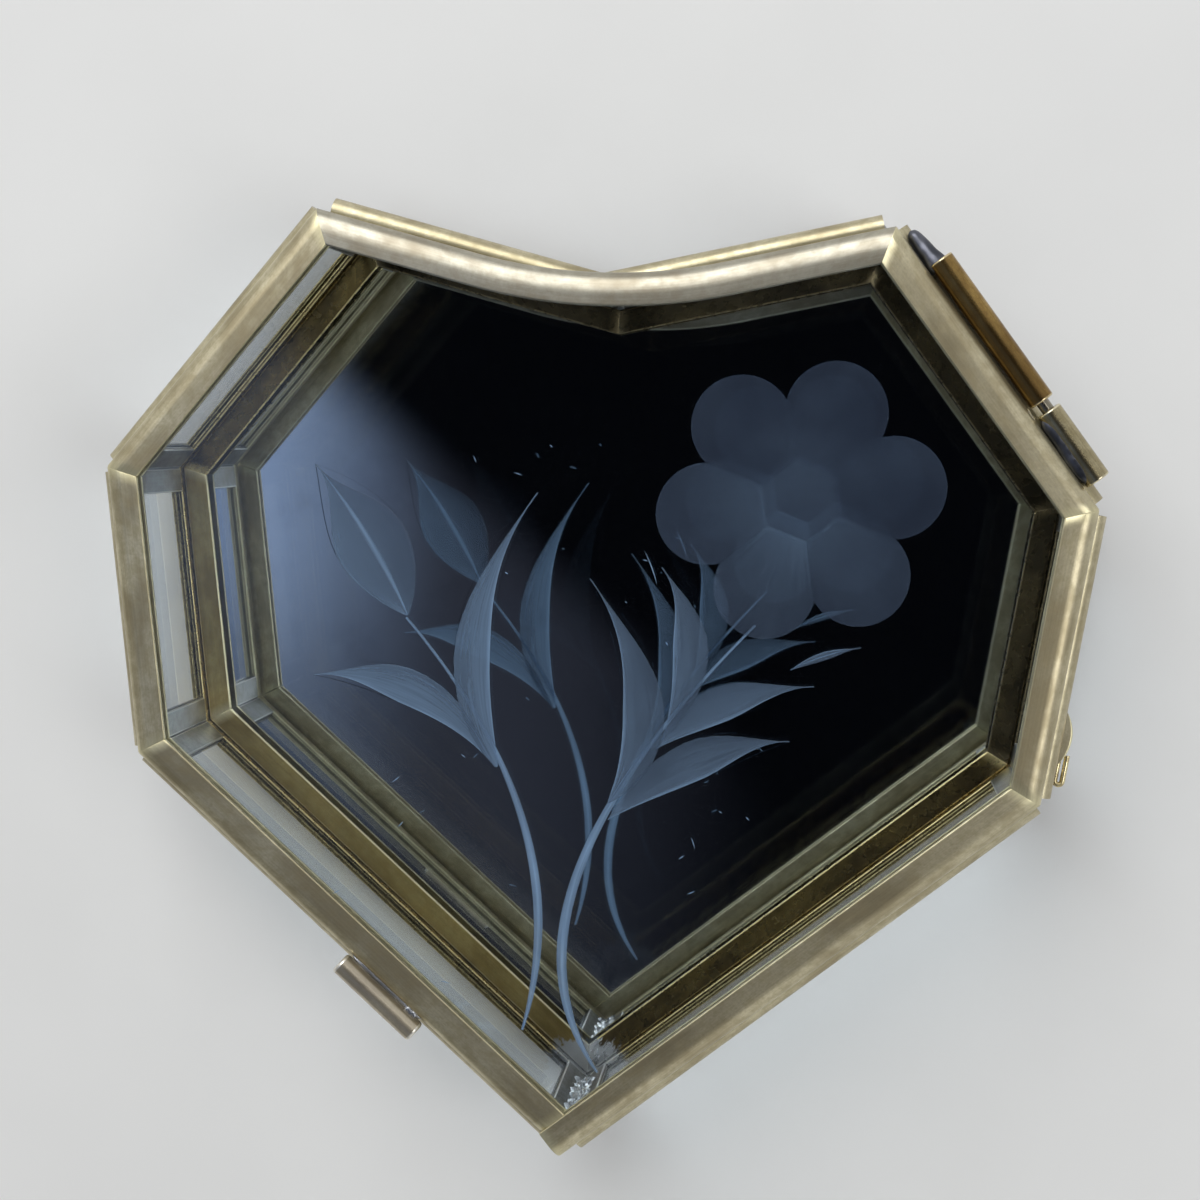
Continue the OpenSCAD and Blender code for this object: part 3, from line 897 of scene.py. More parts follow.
@dataclass(frozen=True)
class SoftSolder:
    """Lumpy silver-grey solder, duller in its hollows."""

    name: str = "soft_solder"
    bright: tuple[float, float, float] = (0.60, 0.62, 0.65)
    dull: tuple[float, float, float] = (0.30, 0.31, 0.34)
    lumps: float = 0.35

    def material(self) -> bpy.types.Material:
        """Builds the finish: two noises of about 1 and 4 mm tone it and raise its skin."""
        s = Shader(self.name)
        place = s.place()
        coarse = s.span(s.noise(place, 260.0, 2.0), 0.3, 0.7)
        fine = s.noise(place, 1300.0, 1.0)
        colour = s.blend(coarse, self.bright, self.dull)
        height = s.maths("ADD", coarse, s.maths("MULTIPLY", fine, 0.4))
        metal = s.node("BsdfPrincipled", {
            "Base Color": colour, "Metallic": 1.0, "Roughness": s.span(fine, 0.3, 0.7, 0.30, 0.45),
            "Normal": s.bump(height, self.lumps, 0.00008)})
        return s.done(metal.outputs[0])


@dataclass(frozen=True)
class ClearGlass:
    """Polished sheet glass that lets lamps through to what it covers."""

    name: str = "clear_sheet_glass"
    tint: tuple[float, float, float] = (0.93, 0.96, 0.97)
    ior: float = 1.5

    def material(self) -> bpy.types.Material:
        """Builds the finish: shadow rays pass, with the glass's own tint."""
        s = Shader(self.name)
        glass = s.node("BsdfPrincipled", {
            "Base Color": self.tint, "Roughness": 0.0, "IOR": self.ior,
            "Transmission Weight": 1.0})
        clear = s.node("BsdfTransparent", {"Color": self.tint})
        shadow = s.node("LightPath").outputs["Is Shadow Ray"]
        return s.done(s.mixed(shadow, glass.outputs[0], clear.outputs[0]))


@dataclass(frozen=True)
class WheelCut:
    """Glass ground matt by a wheel, part see-through, with the wheel's lines. Its dark
    blue-grey is painted shade: ground glass is paler grey-white under even light.
    """

    name: str = "wheel_cut_matt"
    # thin and full are darkened well below ground glass's own grey-white: painted shade of a dim
    # room
    thin: tuple[float, float, float] = (0.039, 0.058, 0.104)
    full: tuple[float, float, float] = (0.45, 0.66, 0.93)
    cover: tuple[float, float] = (0.22, 0.54)
    passes: float = 0.5
    lines_per_mm: float = 3.2

    def material(self) -> bpy.types.Material:
        """Builds the finish.

        Returns:
            A material whose lines follow the cut by its UV, and which is paler and covers
            more where wear is higher: where the wheel ground harder, and where the petals
            carry painted light.
        """
        s = Shader(self.name)
        lines = s.noise(s.surface_uv(0.10, self.lines_per_mm), 1.0, 2.0)
        cloud = s.noise(s.place(), 150.0, 1.0)
        # on the petals, wear holds painted light, so their paleness here is painted light
        shade = s.maths("MULTIPLY", s.wear(), s.span(lines, 0.25, 0.75, 0.84, 1.2))
        shade = s.maths("ADD", shade, s.span(cloud, 0.3, 0.7, -0.012, 0.018))
        colour = s.blend(shade, self.thin, self.full)
        skin = s.node("BsdfPrincipled", {
            "Base Color": colour, "Roughness": 0.6, "Specular IOR Level": 0.15,
            "Sheen Weight": 0.6, "Sheen Roughness": 0.35, "Sheen Tint": (0.85, 0.92, 1.0),
            "Normal": s.bump(lines, 0.15, 0.00002)})
        through = s.node("BsdfTranslucent", {"Color": colour})
        bare = s.node("BsdfTransparent", {"Color": (1.0, 1.0, 1.0)})
        matt = s.mixed(s.span(shade, 0.03, 0.2, 0.1, self.passes), skin.outputs[0],
                       through.outputs[0])
        cover = s.span(shade, 0.0, 0.35, self.cover[0], self.cover[1])
        return s.done(s.mixed(cover, bare.outputs[0], matt))


@dataclass(frozen=True)
class Silvering:
    """The mirror's silver, a little clouded with age."""

    name: str = "mirror_silver"
    silver: tuple[float, float, float] = (0.84, 0.86, 0.88)
    clouded: tuple[float, float, float] = (0.70, 0.72, 0.75)

    def material(self) -> bpy.types.Material:
        """Builds the finish: a slow noise clouds the silver."""
        s = Shader(self.name)
        cloud = s.span(s.noise(s.place(), 70.0, 4.0, 0.6), 0.5, 0.75)
        metal = s.node("BsdfPrincipled", {
            "Base Color": s.blend(cloud, self.silver, self.clouded), "Metallic": 1.0,
            "Roughness": 0.02})
        return s.done(metal.outputs[0])


@dataclass(frozen=True)
class BackingPaint:
    """Grey-brown paint on the mirror's underside, with brush marks."""

    name: str = "mirror_backing_paint"
    paint: tuple[float, float, float] = (0.16, 0.14, 0.13)
    worn: tuple[float, float, float] = (0.27, 0.24, 0.22)

    def material(self) -> bpy.types.Material:
        """Builds the finish: brush marks are noise drawn out along X."""
        s = Shader(self.name)
        marks = s.node("Mapping", {"Vector": s.place(), "Scale": (40.0, 700.0, 1.0)})
        brush = s.noise(marks.outputs["Vector"], 1.0, 4.0)
        skin = s.node("BsdfPrincipled", {
            "Base Color": s.blend(s.span(brush, 0.35, 0.7), self.paint, self.worn),
            "Roughness": 0.55, "Normal": s.bump(brush, 0.3, 0.00005)})
        return s.done(skin.outputs[0])


@dataclass(frozen=True)
class DrawnWire:
    """Bright drawn wire, a little stained."""

    name: str = "drawn_wire"
    bright: tuple[float, float, float] = (0.76, 0.66, 0.40)
    stained: tuple[float, float, float] = (0.45, 0.36, 0.18)

    def material(self) -> bpy.types.Material:
        """Builds the finish: stains of about 1 mm, and lines along the wire."""
        s = Shader(self.name)
        stain = s.span(s.noise(s.place(), 700.0, 3.0), 0.45, 0.7)
        lines = s.noise(s.surface_uv(0.2, 6.0), 1.0, 2.0)
        metal = s.node("BsdfPrincipled", {
            "Base Color": s.blend(stain, self.bright, self.stained), "Metallic": 1.0,
            "Roughness": s.span(stain, 0.0, 1.0, 0.2, 0.36),
            "Normal": s.bump(lines, 0.15, 0.00002)})
        return s.done(metal.outputs[0])


class Finishes:
    """Every finish of the box, made once, by the record's slot."""

    def __init__(self) -> None:
        """Builds the materials."""
        self.aged_brass = AgedBrass(
            "aged_brass", clean=(0.66, 0.595, 0.41), tarnish=(0.39, 0.335, 0.20),
            stain=(0.34, 0.28, 0.165), rubbed=(0.86, 0.80, 0.50)).material()
        # inner_brass is far darker than the lid's brass: partly tarnish, partly painted shade for
        # the inside of the box
        self.inner_brass = AgedBrass(
            "inner_brass", clean=(0.23, 0.165, 0.06), tarnish=(0.10, 0.07, 0.026),
            stain=(0.05, 0.038, 0.022), rubbed=(0.78, 0.65, 0.33), rub=0.95,
            rough=(0.26, 0.32), metallic=0.95, grain=0.2, tinned_tip=9.5).material()
        # shaded_brass is painted shade: a darker copy of the inner brass for the cames at the back
        # and the right
        self.shaded_brass = AgedBrass(
            "shaded_brass", clean=(0.10, 0.078, 0.040), tarnish=(0.045, 0.036, 0.021),
            stain=(0.022, 0.019, 0.014), rubbed=(0.40, 0.31, 0.17), rub=0.6,
            rough=(0.26, 0.32), metallic=0.95, grain=0.2, tinned_tip=9.5).material()
        # golden_brass is a painted lit copy of the inner brass, for the mirror's cames on the left
        self.golden_brass = AgedBrass(
            "golden_brass", clean=(0.52, 0.40, 0.15), tarnish=(0.38, 0.275, 0.09),
            stain=(0.24, 0.165, 0.05), rubbed=(0.90, 0.82, 0.54), rub=0.95,
            rough=(0.28, 0.34), metallic=0.9, grain=0.2, tinned_tip=9.5).material()
        self.bent_brass = AgedBrass(
            "bent_brass", clean=(0.50, 0.475, 0.39), tarnish=(0.325, 0.29, 0.22),
            stain=(0.27, 0.23, 0.16), rubbed=(0.63, 0.615, 0.53), rough=(0.30, 0.34),
            grain=0.2).material()
        self.hinge_brass = AgedBrass(
            "hinge_brass", clean=(0.46, 0.31, 0.11), tarnish=(0.26, 0.155, 0.05),
            stain=(0.16, 0.09, 0.03), rubbed=(0.88, 0.74, 0.46), rough=(0.23, 0.26),
            metallic=1.0).material()
        self.lid_knuckle_brass = AgedBrass(
            "lid_knuckle_brass", clean=(0.52, 0.45, 0.28), tarnish=(0.34, 0.28, 0.15),
            stain=(0.22, 0.18, 0.10), rubbed=(0.92, 0.84, 0.62), rough=(0.22, 0.25),
            metallic=1.0).material()
        self.handle_brass = AgedBrass(
            "handle_brass", clean=(0.64, 0.57, 0.43), tarnish=(0.46, 0.40, 0.30),
            stain=(0.38, 0.33, 0.26), rubbed=(0.90, 0.88, 0.80), rough=(0.28, 0.34)).material()
        self.tinned_brass = AgedBrass(
            "tinned_brass", clean=(0.31, 0.325, 0.33), tarnish=(0.19, 0.19, 0.18),
            stain=(0.16, 0.135, 0.10), rubbed=(0.74, 0.75, 0.76)).material()
        self.solder = SoftSolder().material()
        self.hinge_solder = SoftSolder("hinge_solder", (0.15, 0.155, 0.18), (0.06, 0.063, 0.075),
                                       0.45).material()
        self.clear_glass = ClearGlass().material()
        self.wheel_cut = WheelCut().material()
        self.silver = Silvering().material()
        self.backing = BackingPaint().material()
        self.pin_wire = DrawnWire().material()
        self.dull_pin = DrawnWire("dull_pin_wire", (0.30, 0.27, 0.21), (0.12, 0.10, 0.07)).material()
        # wall_glass is tinted darker than the lid's glass: partly its own tint, partly painted shade
        # that darkens the view through the walls
        self.wall_glass = ClearGlass("wall_sheet_glass", (0.86, 0.90, 0.93)).material()

    def inner_of(self, side: Side, at_mirror: bool = False) -> bpy.types.Material:
        """The finish of an inner came: painted shade makes it nearly black at the back and the
        right, and a painted lit copy keeps it golden round the mirror on the left.

        Args:
            side: its side of the box.
            at_mirror: whether it holds the mirror, not a wall.

        Returns:
            The material.
        """
        if side in (Side.BACK_RIGHT, Side.UPPER_RIGHT, Side.RIGHT, Side.BACK_LEFT):
            return self.shaded_brass
        if at_mirror and side in (Side.LOWER_LEFT, Side.LEFT):
            return self.golden_brass
        return self.inner_brass

    def of_slot(self, slot: str) -> bpy.types.Material:
        """The finish of a node's slot, which for the mirror's slab is clear glass."""
        return self.clear_glass if slot == "mirror_glass" else getattr(self, slot)


# ---------------------------------------------------------------- sub-assemblies


@dataclass
class LidFrame:
    """The seven cames round the lid's pane, whose backs are a little flattened."""

    finishes: Finishes
    stock: CameStock = CameStock(PLAN.lid_came_d, True, crest=2.1, lip_wear=0.3)
    round_stock: CameStock = CameStock(PLAN.lid_came_d, True, crest=2.8, lip_wear=0.1)

    def build(self) -> None:
        """Makes the six straight cames and the bent one."""
        for side in Side:
            if side not in (Side.BACK_RIGHT, Side.BACK_LEFT):
                self.straight(side)
        self.curved_back()

    def straight(self, side: Side) -> None:
        """One straight came. At the tip the lower right one runs through with a square
        end, and the lower left one stops against it.

        Args:
            side: its side of the lid.
        """
        node = f"lid_came_{side.label}"
        piece = lying_came(f"{node}_drawn", partial(self.start, side), partial(self.end, side),
                           self.stock, PLAN.lid_z, Seed.LID_CAME + side.value)
        install(piece, Body.LID, "aged_brass", self.finishes.aged_brass, node)

    @staticmethod
    def mitre(corner: int, n: Array) -> Array:
        """Plan points of a mitre: where the two sides at a corner meet, at each depth n."""
        return np.stack([PLAN.lid_corner(corner, float(d)) for d in n])

    def start(self, side: Side, n: Array) -> Array:
        """Where a straight came begins.

        Args:
            side: its side of the lid.
            n: depths behind the came's back.

        Returns:
            A plan point for each depth.
        """
        if side is not Side.LOWER_LEFT:
            return self.mitre(side.value, n)
        deep = PLAN.lid_came_d
        share = (n / deep)[:, None]
        through = PLAN.lid_corner(side.value, deep, 0.0)
        return through * (1 - share) + PLAN.lid_corner(side.value, deep) * share

    def end(self, side: Side, n: Array) -> Array:
        """Where a straight came ends.

        Args:
            side: its side of the lid.
            n: depths behind the came's back.

        Returns:
            A plan point for each depth.
        """
        if side is not Side.LOWER_RIGHT:
            return self.mitre(side.value + 1, n)
        deep = PLAN.lid_came_d
        through = PLAN.lid_corner(side.value + 1, deep, 0.0)
        return through + (deep - n)[:, None] * -PLAN.inward(side.value)

    def curved_back(self) -> None:
        """The came along the notch: straight from each lobe, and an arc between."""
        angle = PLAN.notch_angle
        straight_rows, arc_rows = 14, 22

        def lines(n: Array) -> Array:
            """Plan lines along the came.

            Args:
                n: the depth of each line behind the came's back.

            Returns:
                Plan points, rows along the came and a column for each depth.
            """
            left = self.mitre(Side.BACK_LEFT.value, n)
            right = self.mitre(Side.UPPER_RIGHT.value, n)
            arc = PLAN.notch_point(np.linspace(-angle, angle, arc_rows)[:, None], n[None])
            run = np.linspace(0, 1, straight_rows, endpoint=False)[:, None, None]
            first = left[None] * (1 - run) + arc[0][None] * run
            final = right[None] * (1 - run) + arc[-1][None] * run
            return np.concatenate([first, arc, final[::-1]])

        profile, wear = self.round_stock.profile(PLAN)
        n, dz = profile.T
        plan = lines(n)
        s = girth(plan[:, 0])
        drop = ripple(s, Seed.CURVED_BACK, HAND_WAVES)[:, None]
        points = raised(plan, PLAN.lid_z + dz[None] + drop)
        piece = make_mesh("lid_came_curved_back_bent",
                          Surface(points, s[:, None], girth(profile), wear))
        install(piece, Body.LID, "aged_brass", self.finishes.bent_brass, "lid_came_curved_back")


@dataclass
class Walls:
    """The cames of the eight walls: rounded on top, square at the foot, upright at the ends."""

    finishes: Finishes
    rim_depth: float = 3.3
    foot_depth: float = 5.0
    end_depth: float = 3.3

    def build(self) -> None:
        """Makes each wall's rim, foot and two upright cames."""
        for side in Side:
            self.rim(side)
            self.foot(side)
            self.uprights(side)

    def rim(self, side: Side) -> None:
        """The rounded came on top of a wall."""
        node = f"rim_came_{side.label}"
        piece = wall_came(f"{node}_drawn", side, PLAN.wall_h, CameStock(self.rim_depth, True),
                          True, Seed.RIM_CAME + side.value)
        install(piece, Body.BOX, "aged_brass", self.finishes.aged_brass, node)

    def foot(self, side: Side) -> None:
        """The square came under a wall."""
        node = f"foot_came_{side.label}"
        piece = wall_came(f"{node}_drawn", side, 0.0, CameStock(self.foot_depth, False),
                          False, Seed.FOOT_CAME + side.value)
        install(piece, Body.BOX, "inner_brass", self.finishes.inner_of(side), node)

    def uprights(self, side: Side) -> None:
        """The two upright cames of a wall."""
        node = f"end_cames_{side.label}"
        stock = CameStock(self.end_depth, False)
        for at_start, end in ((True, "first"), (False, "last")):
            piece = upright_came(f"end_came_{side.label}_{end}", side, at_start, self.foot_depth,
                                 PLAN.wall_h - self.rim_depth, stock)
            install(piece, Body.BOX, "tinned_brass", self.finishes.tinned_brass, node)


@dataclass
class MirrorFloor:
    """The mirror's silver and paint, and the eight mitred cames round it."""

    finishes: Finishes
    came_depth: float = 3.2
    lift: float = 0.5
    silver_t: float = 0.03
    paint_t: float = 0.05

    def build(self) -> None:
        """Makes the cames, the silver and the paint."""
        z = self.lift + PLAN.came_r
        stock = CameStock(self.came_depth, False)
        for side in Side:
            i = side.value
            node = f"base_came_{side.label}"
            piece = lying_came(f"{node}_drawn", partial(self.mitre, i), partial(self.mitre, i + 1),
                               stock, z, Seed.BASE_CAME + i)
            install(piece, Body.BOX, "inner_brass", self.finishes.inner_of(side, True), node)
        under = self.lift + PLAN.came_wall
        self.sheet("mirror_silvering", PLAN.came_t + PLAN.came_wall + 0.05, under + 0.005,
                   self.silver_t, self.finishes.silver)
        self.sheet("mirror_backing", PLAN.came_t + self.came_depth + 0.05,
                   under - self.paint_t - 0.002, self.paint_t, self.finishes.backing)

    @staticmethod
    def mitre(corner: int, n: Array) -> Array:
        """Plan points of a mitre inside the walls' cames, at each depth n."""
        return np.stack([PLAN.inset(corner, PLAN.came_t + float(d)) for d in n])

    def sheet(self, name: str, inset: float, z: float, thick: float,
              material: bpy.types.Material) -> None:
        """A thin closed sheet in the heart's plan: rings shrink towards a point inside.

        Args:
            name: name of the piece.
            inset: distance inside the walls' outer faces.
            z: height of its underside.
            thick: its thickness.
            material: its finish.
        """
        ring = np.stack([PLAN.inset(i, inset) for i in range(SIDES)])
        corners = np.concatenate([ring[k] + (ring[(k + 1) % SIDES] - ring[k])
                                  * np.linspace(0, 1, 6, endpoint=False)[:, None]
                                  for k in range(SIDES)])
        low = raised(corners, z)
        high = low + [0, 0, thick]
        points = np.stack([low, high])
        piece = make_mesh(name, Surface(points, np.array([[0.0], [thick]]),
                                        girth(corners), np.zeros(len(corners))))
        install(piece, Body.BOX, "mirror_glass", material)


@dataclass
class Hinge:
    """The tube hinge outside the upper right wall, and the solder that holds it, in mm.

    Attributes:
        finishes: the finishes to use.
        tube_r: outside radius of both tubes.
        pin_r: radius of the pin.
        run_clear: air round the pin in the lid's tube.
        fast_clear: air round it in the box's tube.
        knuckle_clear: air between the tubes and the lid's edge.
        axis_lift: height of the hinge line above the rim.
        box_from: where the box's tube starts, along the wall.
        box_length: its length.
        gap: air between the two tubes.
        lid_length: length of the lid's tube.
        pin_inset: how far the pin's ends lie inside the tubes' ends.
        rounding: radius of the tubes' outer edges.
        dome: height of the pin's domed ends.
        lump_l: how far the lump of solder reaches past the box's tube.
        seat: half width and half height of the seat of solder.
        fillet: half width and half height of the lid's fillet.
    """

    finishes: Finishes
    tube_r: float = 1.6
    pin_r: float = 0.8
    run_clear: float = 0.05
    fast_clear: float = 0.02
    knuckle_clear: float = 0.35
    axis_lift: float = 1.3
    box_from: float = 7.9
    box_length: float = 21.2
    gap: float = 1.3
    lid_length: float = 10.4
    pin_inset: float = 0.4
    rounding: float = 0.22
    dome: float = 0.25
    lump_l: float = 5.0
    seat: tuple[float, float] = (1.15, 1.0)
    fillet: tuple[float, float] = (1.35, 1.3)

    @property
    def out(self) -> float:
        """Distance of the hinge line outside the wall's face."""
        return self.knuckle_clear + self.tube_r - PLAN.lid_step

    @property
    def lid_from(self) -> float:
        """Start of the lid's knuckle along the wall."""
        return self.box_from + self.box_length + self.gap

    def at(self, s: Union[float, Array], out: float, lift: Union[float, Array]) -> Array:
        """Point s along the hinge wall, out of its face and above the rim."""
        return raised(PLAN.wall_point(Side.UPPER_RIGHT.value, s, -out), PLAN.wall_h + lift)

    def build(self) -> None:
        """Makes the two knuckles, the pin and the solder."""
        axis = np.append(PLAN.along(Side.UPPER_RIGHT.value), 0.0)
        for name, node, start, length, clear, body, finish in (
                ("knuckle_of_box", "box_hinge_knuckle", self.box_from, self.box_length,
                 self.fast_clear, Body.BOX, self.finishes.hinge_brass),
                ("knuckle_of_lid", "lid_hinge_knuckle", self.lid_from, self.lid_length,
                 self.run_clear, Body.LID, self.finishes.lid_knuckle_brass)):
            profile, wear = tube_profile(length, self.tube_r, self.pin_r + clear, self.rounding)
            piece = turned(name, self.at(start, self.out, self.axis_lift), axis, profile, wear)
            install(piece, body, "hinge_brass", finish, node)
        self.pin(axis)
        self.solder()

    def pin(self, axis: Array) -> None:
        """The wire through both tubes, with domed ends."""
        first = self.box_from + self.pin_inset
        last = self.lid_from + self.lid_length - self.pin_inset
        length = last - first
        a = np.linspace(0, math.pi / 2, 7)
        start = np.stack([self.dome * (1 - np.cos(a)), self.pin_r * np.sin(a) + 1e-3], -1)
        finish = np.stack([length - start[::-1, 0], start[::-1, 1]], -1)
        rows = np.concatenate([start, finish])
        turn = np.linspace(0, FULL_TURN, 32, endpoint=False)
        side = unit(np.cross([0.0, 0.0, 1.0], axis))
        spoke = np.cos(turn)[:, None] * side + np.sin(turn)[:, None] * np.array([0.0, 0.0, 1.0])
        origin = self.at(first, self.out, self.axis_lift)
        points = origin + rows[:, None, :1] * axis + rows[:, None, 1:] * spoke[None]
        piece = make_mesh("pin_wire_drawn", Surface(points, rows[:, :1], turn * self.pin_r,
                                                    np.zeros(len(turn))))
        install(piece, Body.BOX, "pin_wire", self.finishes.dull_pin, "hinge_pin")

    def solder(self) -> None:
        """The seat under the box's knuckle, its lump at the lobe, and the lid's fillet."""
        finish = self.finishes.hinge_solder
        seat = np.linspace(self.box_from, self.box_from + self.box_length, 40)
        size = (np.full(len(seat), v) for v in self.seat)
        install(blob("solder_seat", self.at(seat, 0.0, 0.15), *size, Seed.HINGE_SEAT),
                Body.BOX, "solder", finish, "box_solder")
        lump = np.linspace(self.box_from - self.lump_l, self.box_from + 1.5, 30)
        climb = np.linspace(0, 1, len(lump)) ** 1.5
        path = np.stack([self.at(float(s), -0.35 + (self.out - 0.15) * c,
                                 0.35 + (self.axis_lift - 0.55) * c) for s, c in zip(lump, climb)])
        swell = 0.95 + 0.75 * climb
        install(blob("solder_lump", path, swell, swell, Seed.HINGE_LUMP),
                Body.BOX, "solder", finish, "box_solder")
        fillet = np.linspace(self.lid_from + 0.15, self.lid_from + self.lid_length - 0.15, 30)
        path = self.at(fillet, -0.35, self.axis_lift + 0.2)
        size = (np.full(len(fillet), v) for v in self.fillet)
        install(blob("solder_of_lid_knuckle", path, *size, Seed.LID_FILLET, 0.2),
                Body.LID, "solder", finish, "lid_solder")


@dataclass
class LiftHandle:
    """The short open tube on the lower left edge of the lid."""

    finishes: Finishes
    radius: float = 1.45
    wall: float = 0.5
    length: float = 13.2
    start: float = 25.5
    clear: float = 0.5
    rounding: float = 0.4

    def build(self) -> None:
        """Makes the tube and the solder between it and the lid's edge."""
        i = Side.LOWER_LEFT.value
        out = self.clear + self.radius - PLAN.lid_step
        origin = np.append(PLAN.wall_point(i, self.start, -out), PLAN.lid_z)
        axis = np.append(PLAN.along(i), 0.0)
        profile, wear = tube_profile(self.length, self.radius, self.radius - self.wall,
                                     self.rounding)
        piece = turned("handle_tube_drawn", origin, axis, profile, wear)
        install(piece, Body.LID, "hinge_brass", self.finishes.handle_brass, "lid_handle_tube")
        for name, first, last, low, half in (
                ("solder_of_handle", 0.6, self.length - 0.6, -0.35, 0.5),
                ("solder_bead_of_handle", 1.2, 3.2, 0.0, 0.65)):
            s = np.linspace(self.start + first, self.start + last, 30)
            plan = PLAN.wall_point(i, s, PLAN.lid_step - self.clear / 2)
            width = np.full(len(s), half)
            install(blob(name, raised(plan, PLAN.lid_z + low), width, width, Seed.HANDLE, 0.3),
                    Body.LID, "solder", self.finishes.solder, "lid_solder")


@dataclass
class CornerSeams:
    """Solder in the open wedge between each two walls."""

    finishes: Finishes
    depth: float = 2.2
    drop: float = 1.7
    hollow: float = 0.35
    waves: Waves = ((9.0, 0.09), (3.7, 0.07), (1.6, 0.03))
    crease: float = 60.0

    def build(self) -> None:
        """Makes the eight seams, each a column whose hollow face wanders."""
        for i in range(SIDES):
            convex = PLAN.trim(i)[0] > 0
            apex = PLAN.inset(i, PLAN.came_t) if convex else PLAN.corner(i)
            sign = -1.0 if convex else 1.0
            arms = sign * self.depth * PLAN.inward(i - 1), sign * self.depth * PLAN.inward(i)
            low, high = PLAN.came_wall, PLAN.wall_h - self.drop
            z = np.linspace(low, high, 50)
            t = np.linspace(0, 1, 9)
            hollow = 1 - self.hollow * np.sin(math.pi * t)
            face = (arms[0] * (1 - t)[:, None] + arms[1] * t[:, None]) * hollow[:, None]
            retreat = 1 + ripple(z, Seed.SEAM + i, self.waves)
            ring = apex + face[None] * retreat[:, None, None]
            root = np.broadcast_to(apex, (len(z), 1, 2))
            plan = np.concatenate([root, ring], 1)
            piece = make_mesh(f"corner_seam_{i}", Surface(
                raised(plan, z[:, None]), (z - low)[:, None], girth(plan[0]),
                np.zeros(plan.shape[1])), self.crease)
            install(piece, Body.BOX, "solder", self.finishes.solder, "box_solder")


@dataclass
class TipSolder:
    """The crumpled web of solder inside the tip, between the last two upright cames, in mm.

    Attributes:
        finishes: the finishes to use.
        low: height of its foot.
        high: height of its top.
        leg: how far it reaches along the lower right wall.
        crumple: height of the folds in its top.
        crumpled: how far down from the top the folds run out.
        hollow: how much its face falls in, as a share.
        waves: the folds down its face.
        crease: degrees between two faces, above which their edge stays sharp.
    """

    finishes: Finishes
    low: float = 8.0
    high: float = 26.6
    leg: float = 2.6
    crumple: float = 0.35
    crumpled: float = 3.0
    hollow: float = 0.18
    waves: Waves = ((6.1, 0.10), (2.3, 0.09), (0.9, 0.05))
    crease: float = 40.0

    def build(self) -> None:
        """Makes the web: a three-cornered column whose face and top are crumpled."""
        tip = Side.LOWER_LEFT.value
        apex = PLAN.inset(tip, PLAN.came_t - 0.05)
        legs = (self.leg * -PLAN.along(tip - 1), 0.75 * self.leg * PLAN.along(tip))
        z = np.linspace(self.low, self.high, 60)
        t = np.linspace(0, 1, 15)
        wander = np.stack([ripple(z, Seed.TIP + k, self.waves) for k in range(len(t))], 1)
        size = 1 + wander - self.hollow * np.sin(math.pi * t)
        face = legs[0] * (1 - t)[:, None] + legs[1] * t[:, None]
        ring = apex + face[None] * size[..., None]
        ring[-1] = apex + (ring[-1] - apex) * 0.8
        plan = np.concatenate([np.broadcast_to(apex, (len(z), 1, 2)), ring], 1)
        top = np.clip((z - self.high + self.crumpled) / self.crumpled, 0, 1)[:, None]
        jag = np.append(0.0, self.crumple * np.sin(9.0 * t + 1.0) - 2.4 * t * (1 - 0.3 * t))
        height = z[:, None] + top * jag[None]
        piece = make_mesh("tip_web", Surface(
            raised(plan, height), (z - self.low)[:, None], girth(plan[0]),
            np.zeros(plan.shape[1])), self.crease)
        install(piece, Body.BOX, "solder", self.finishes.solder, "box_solder")


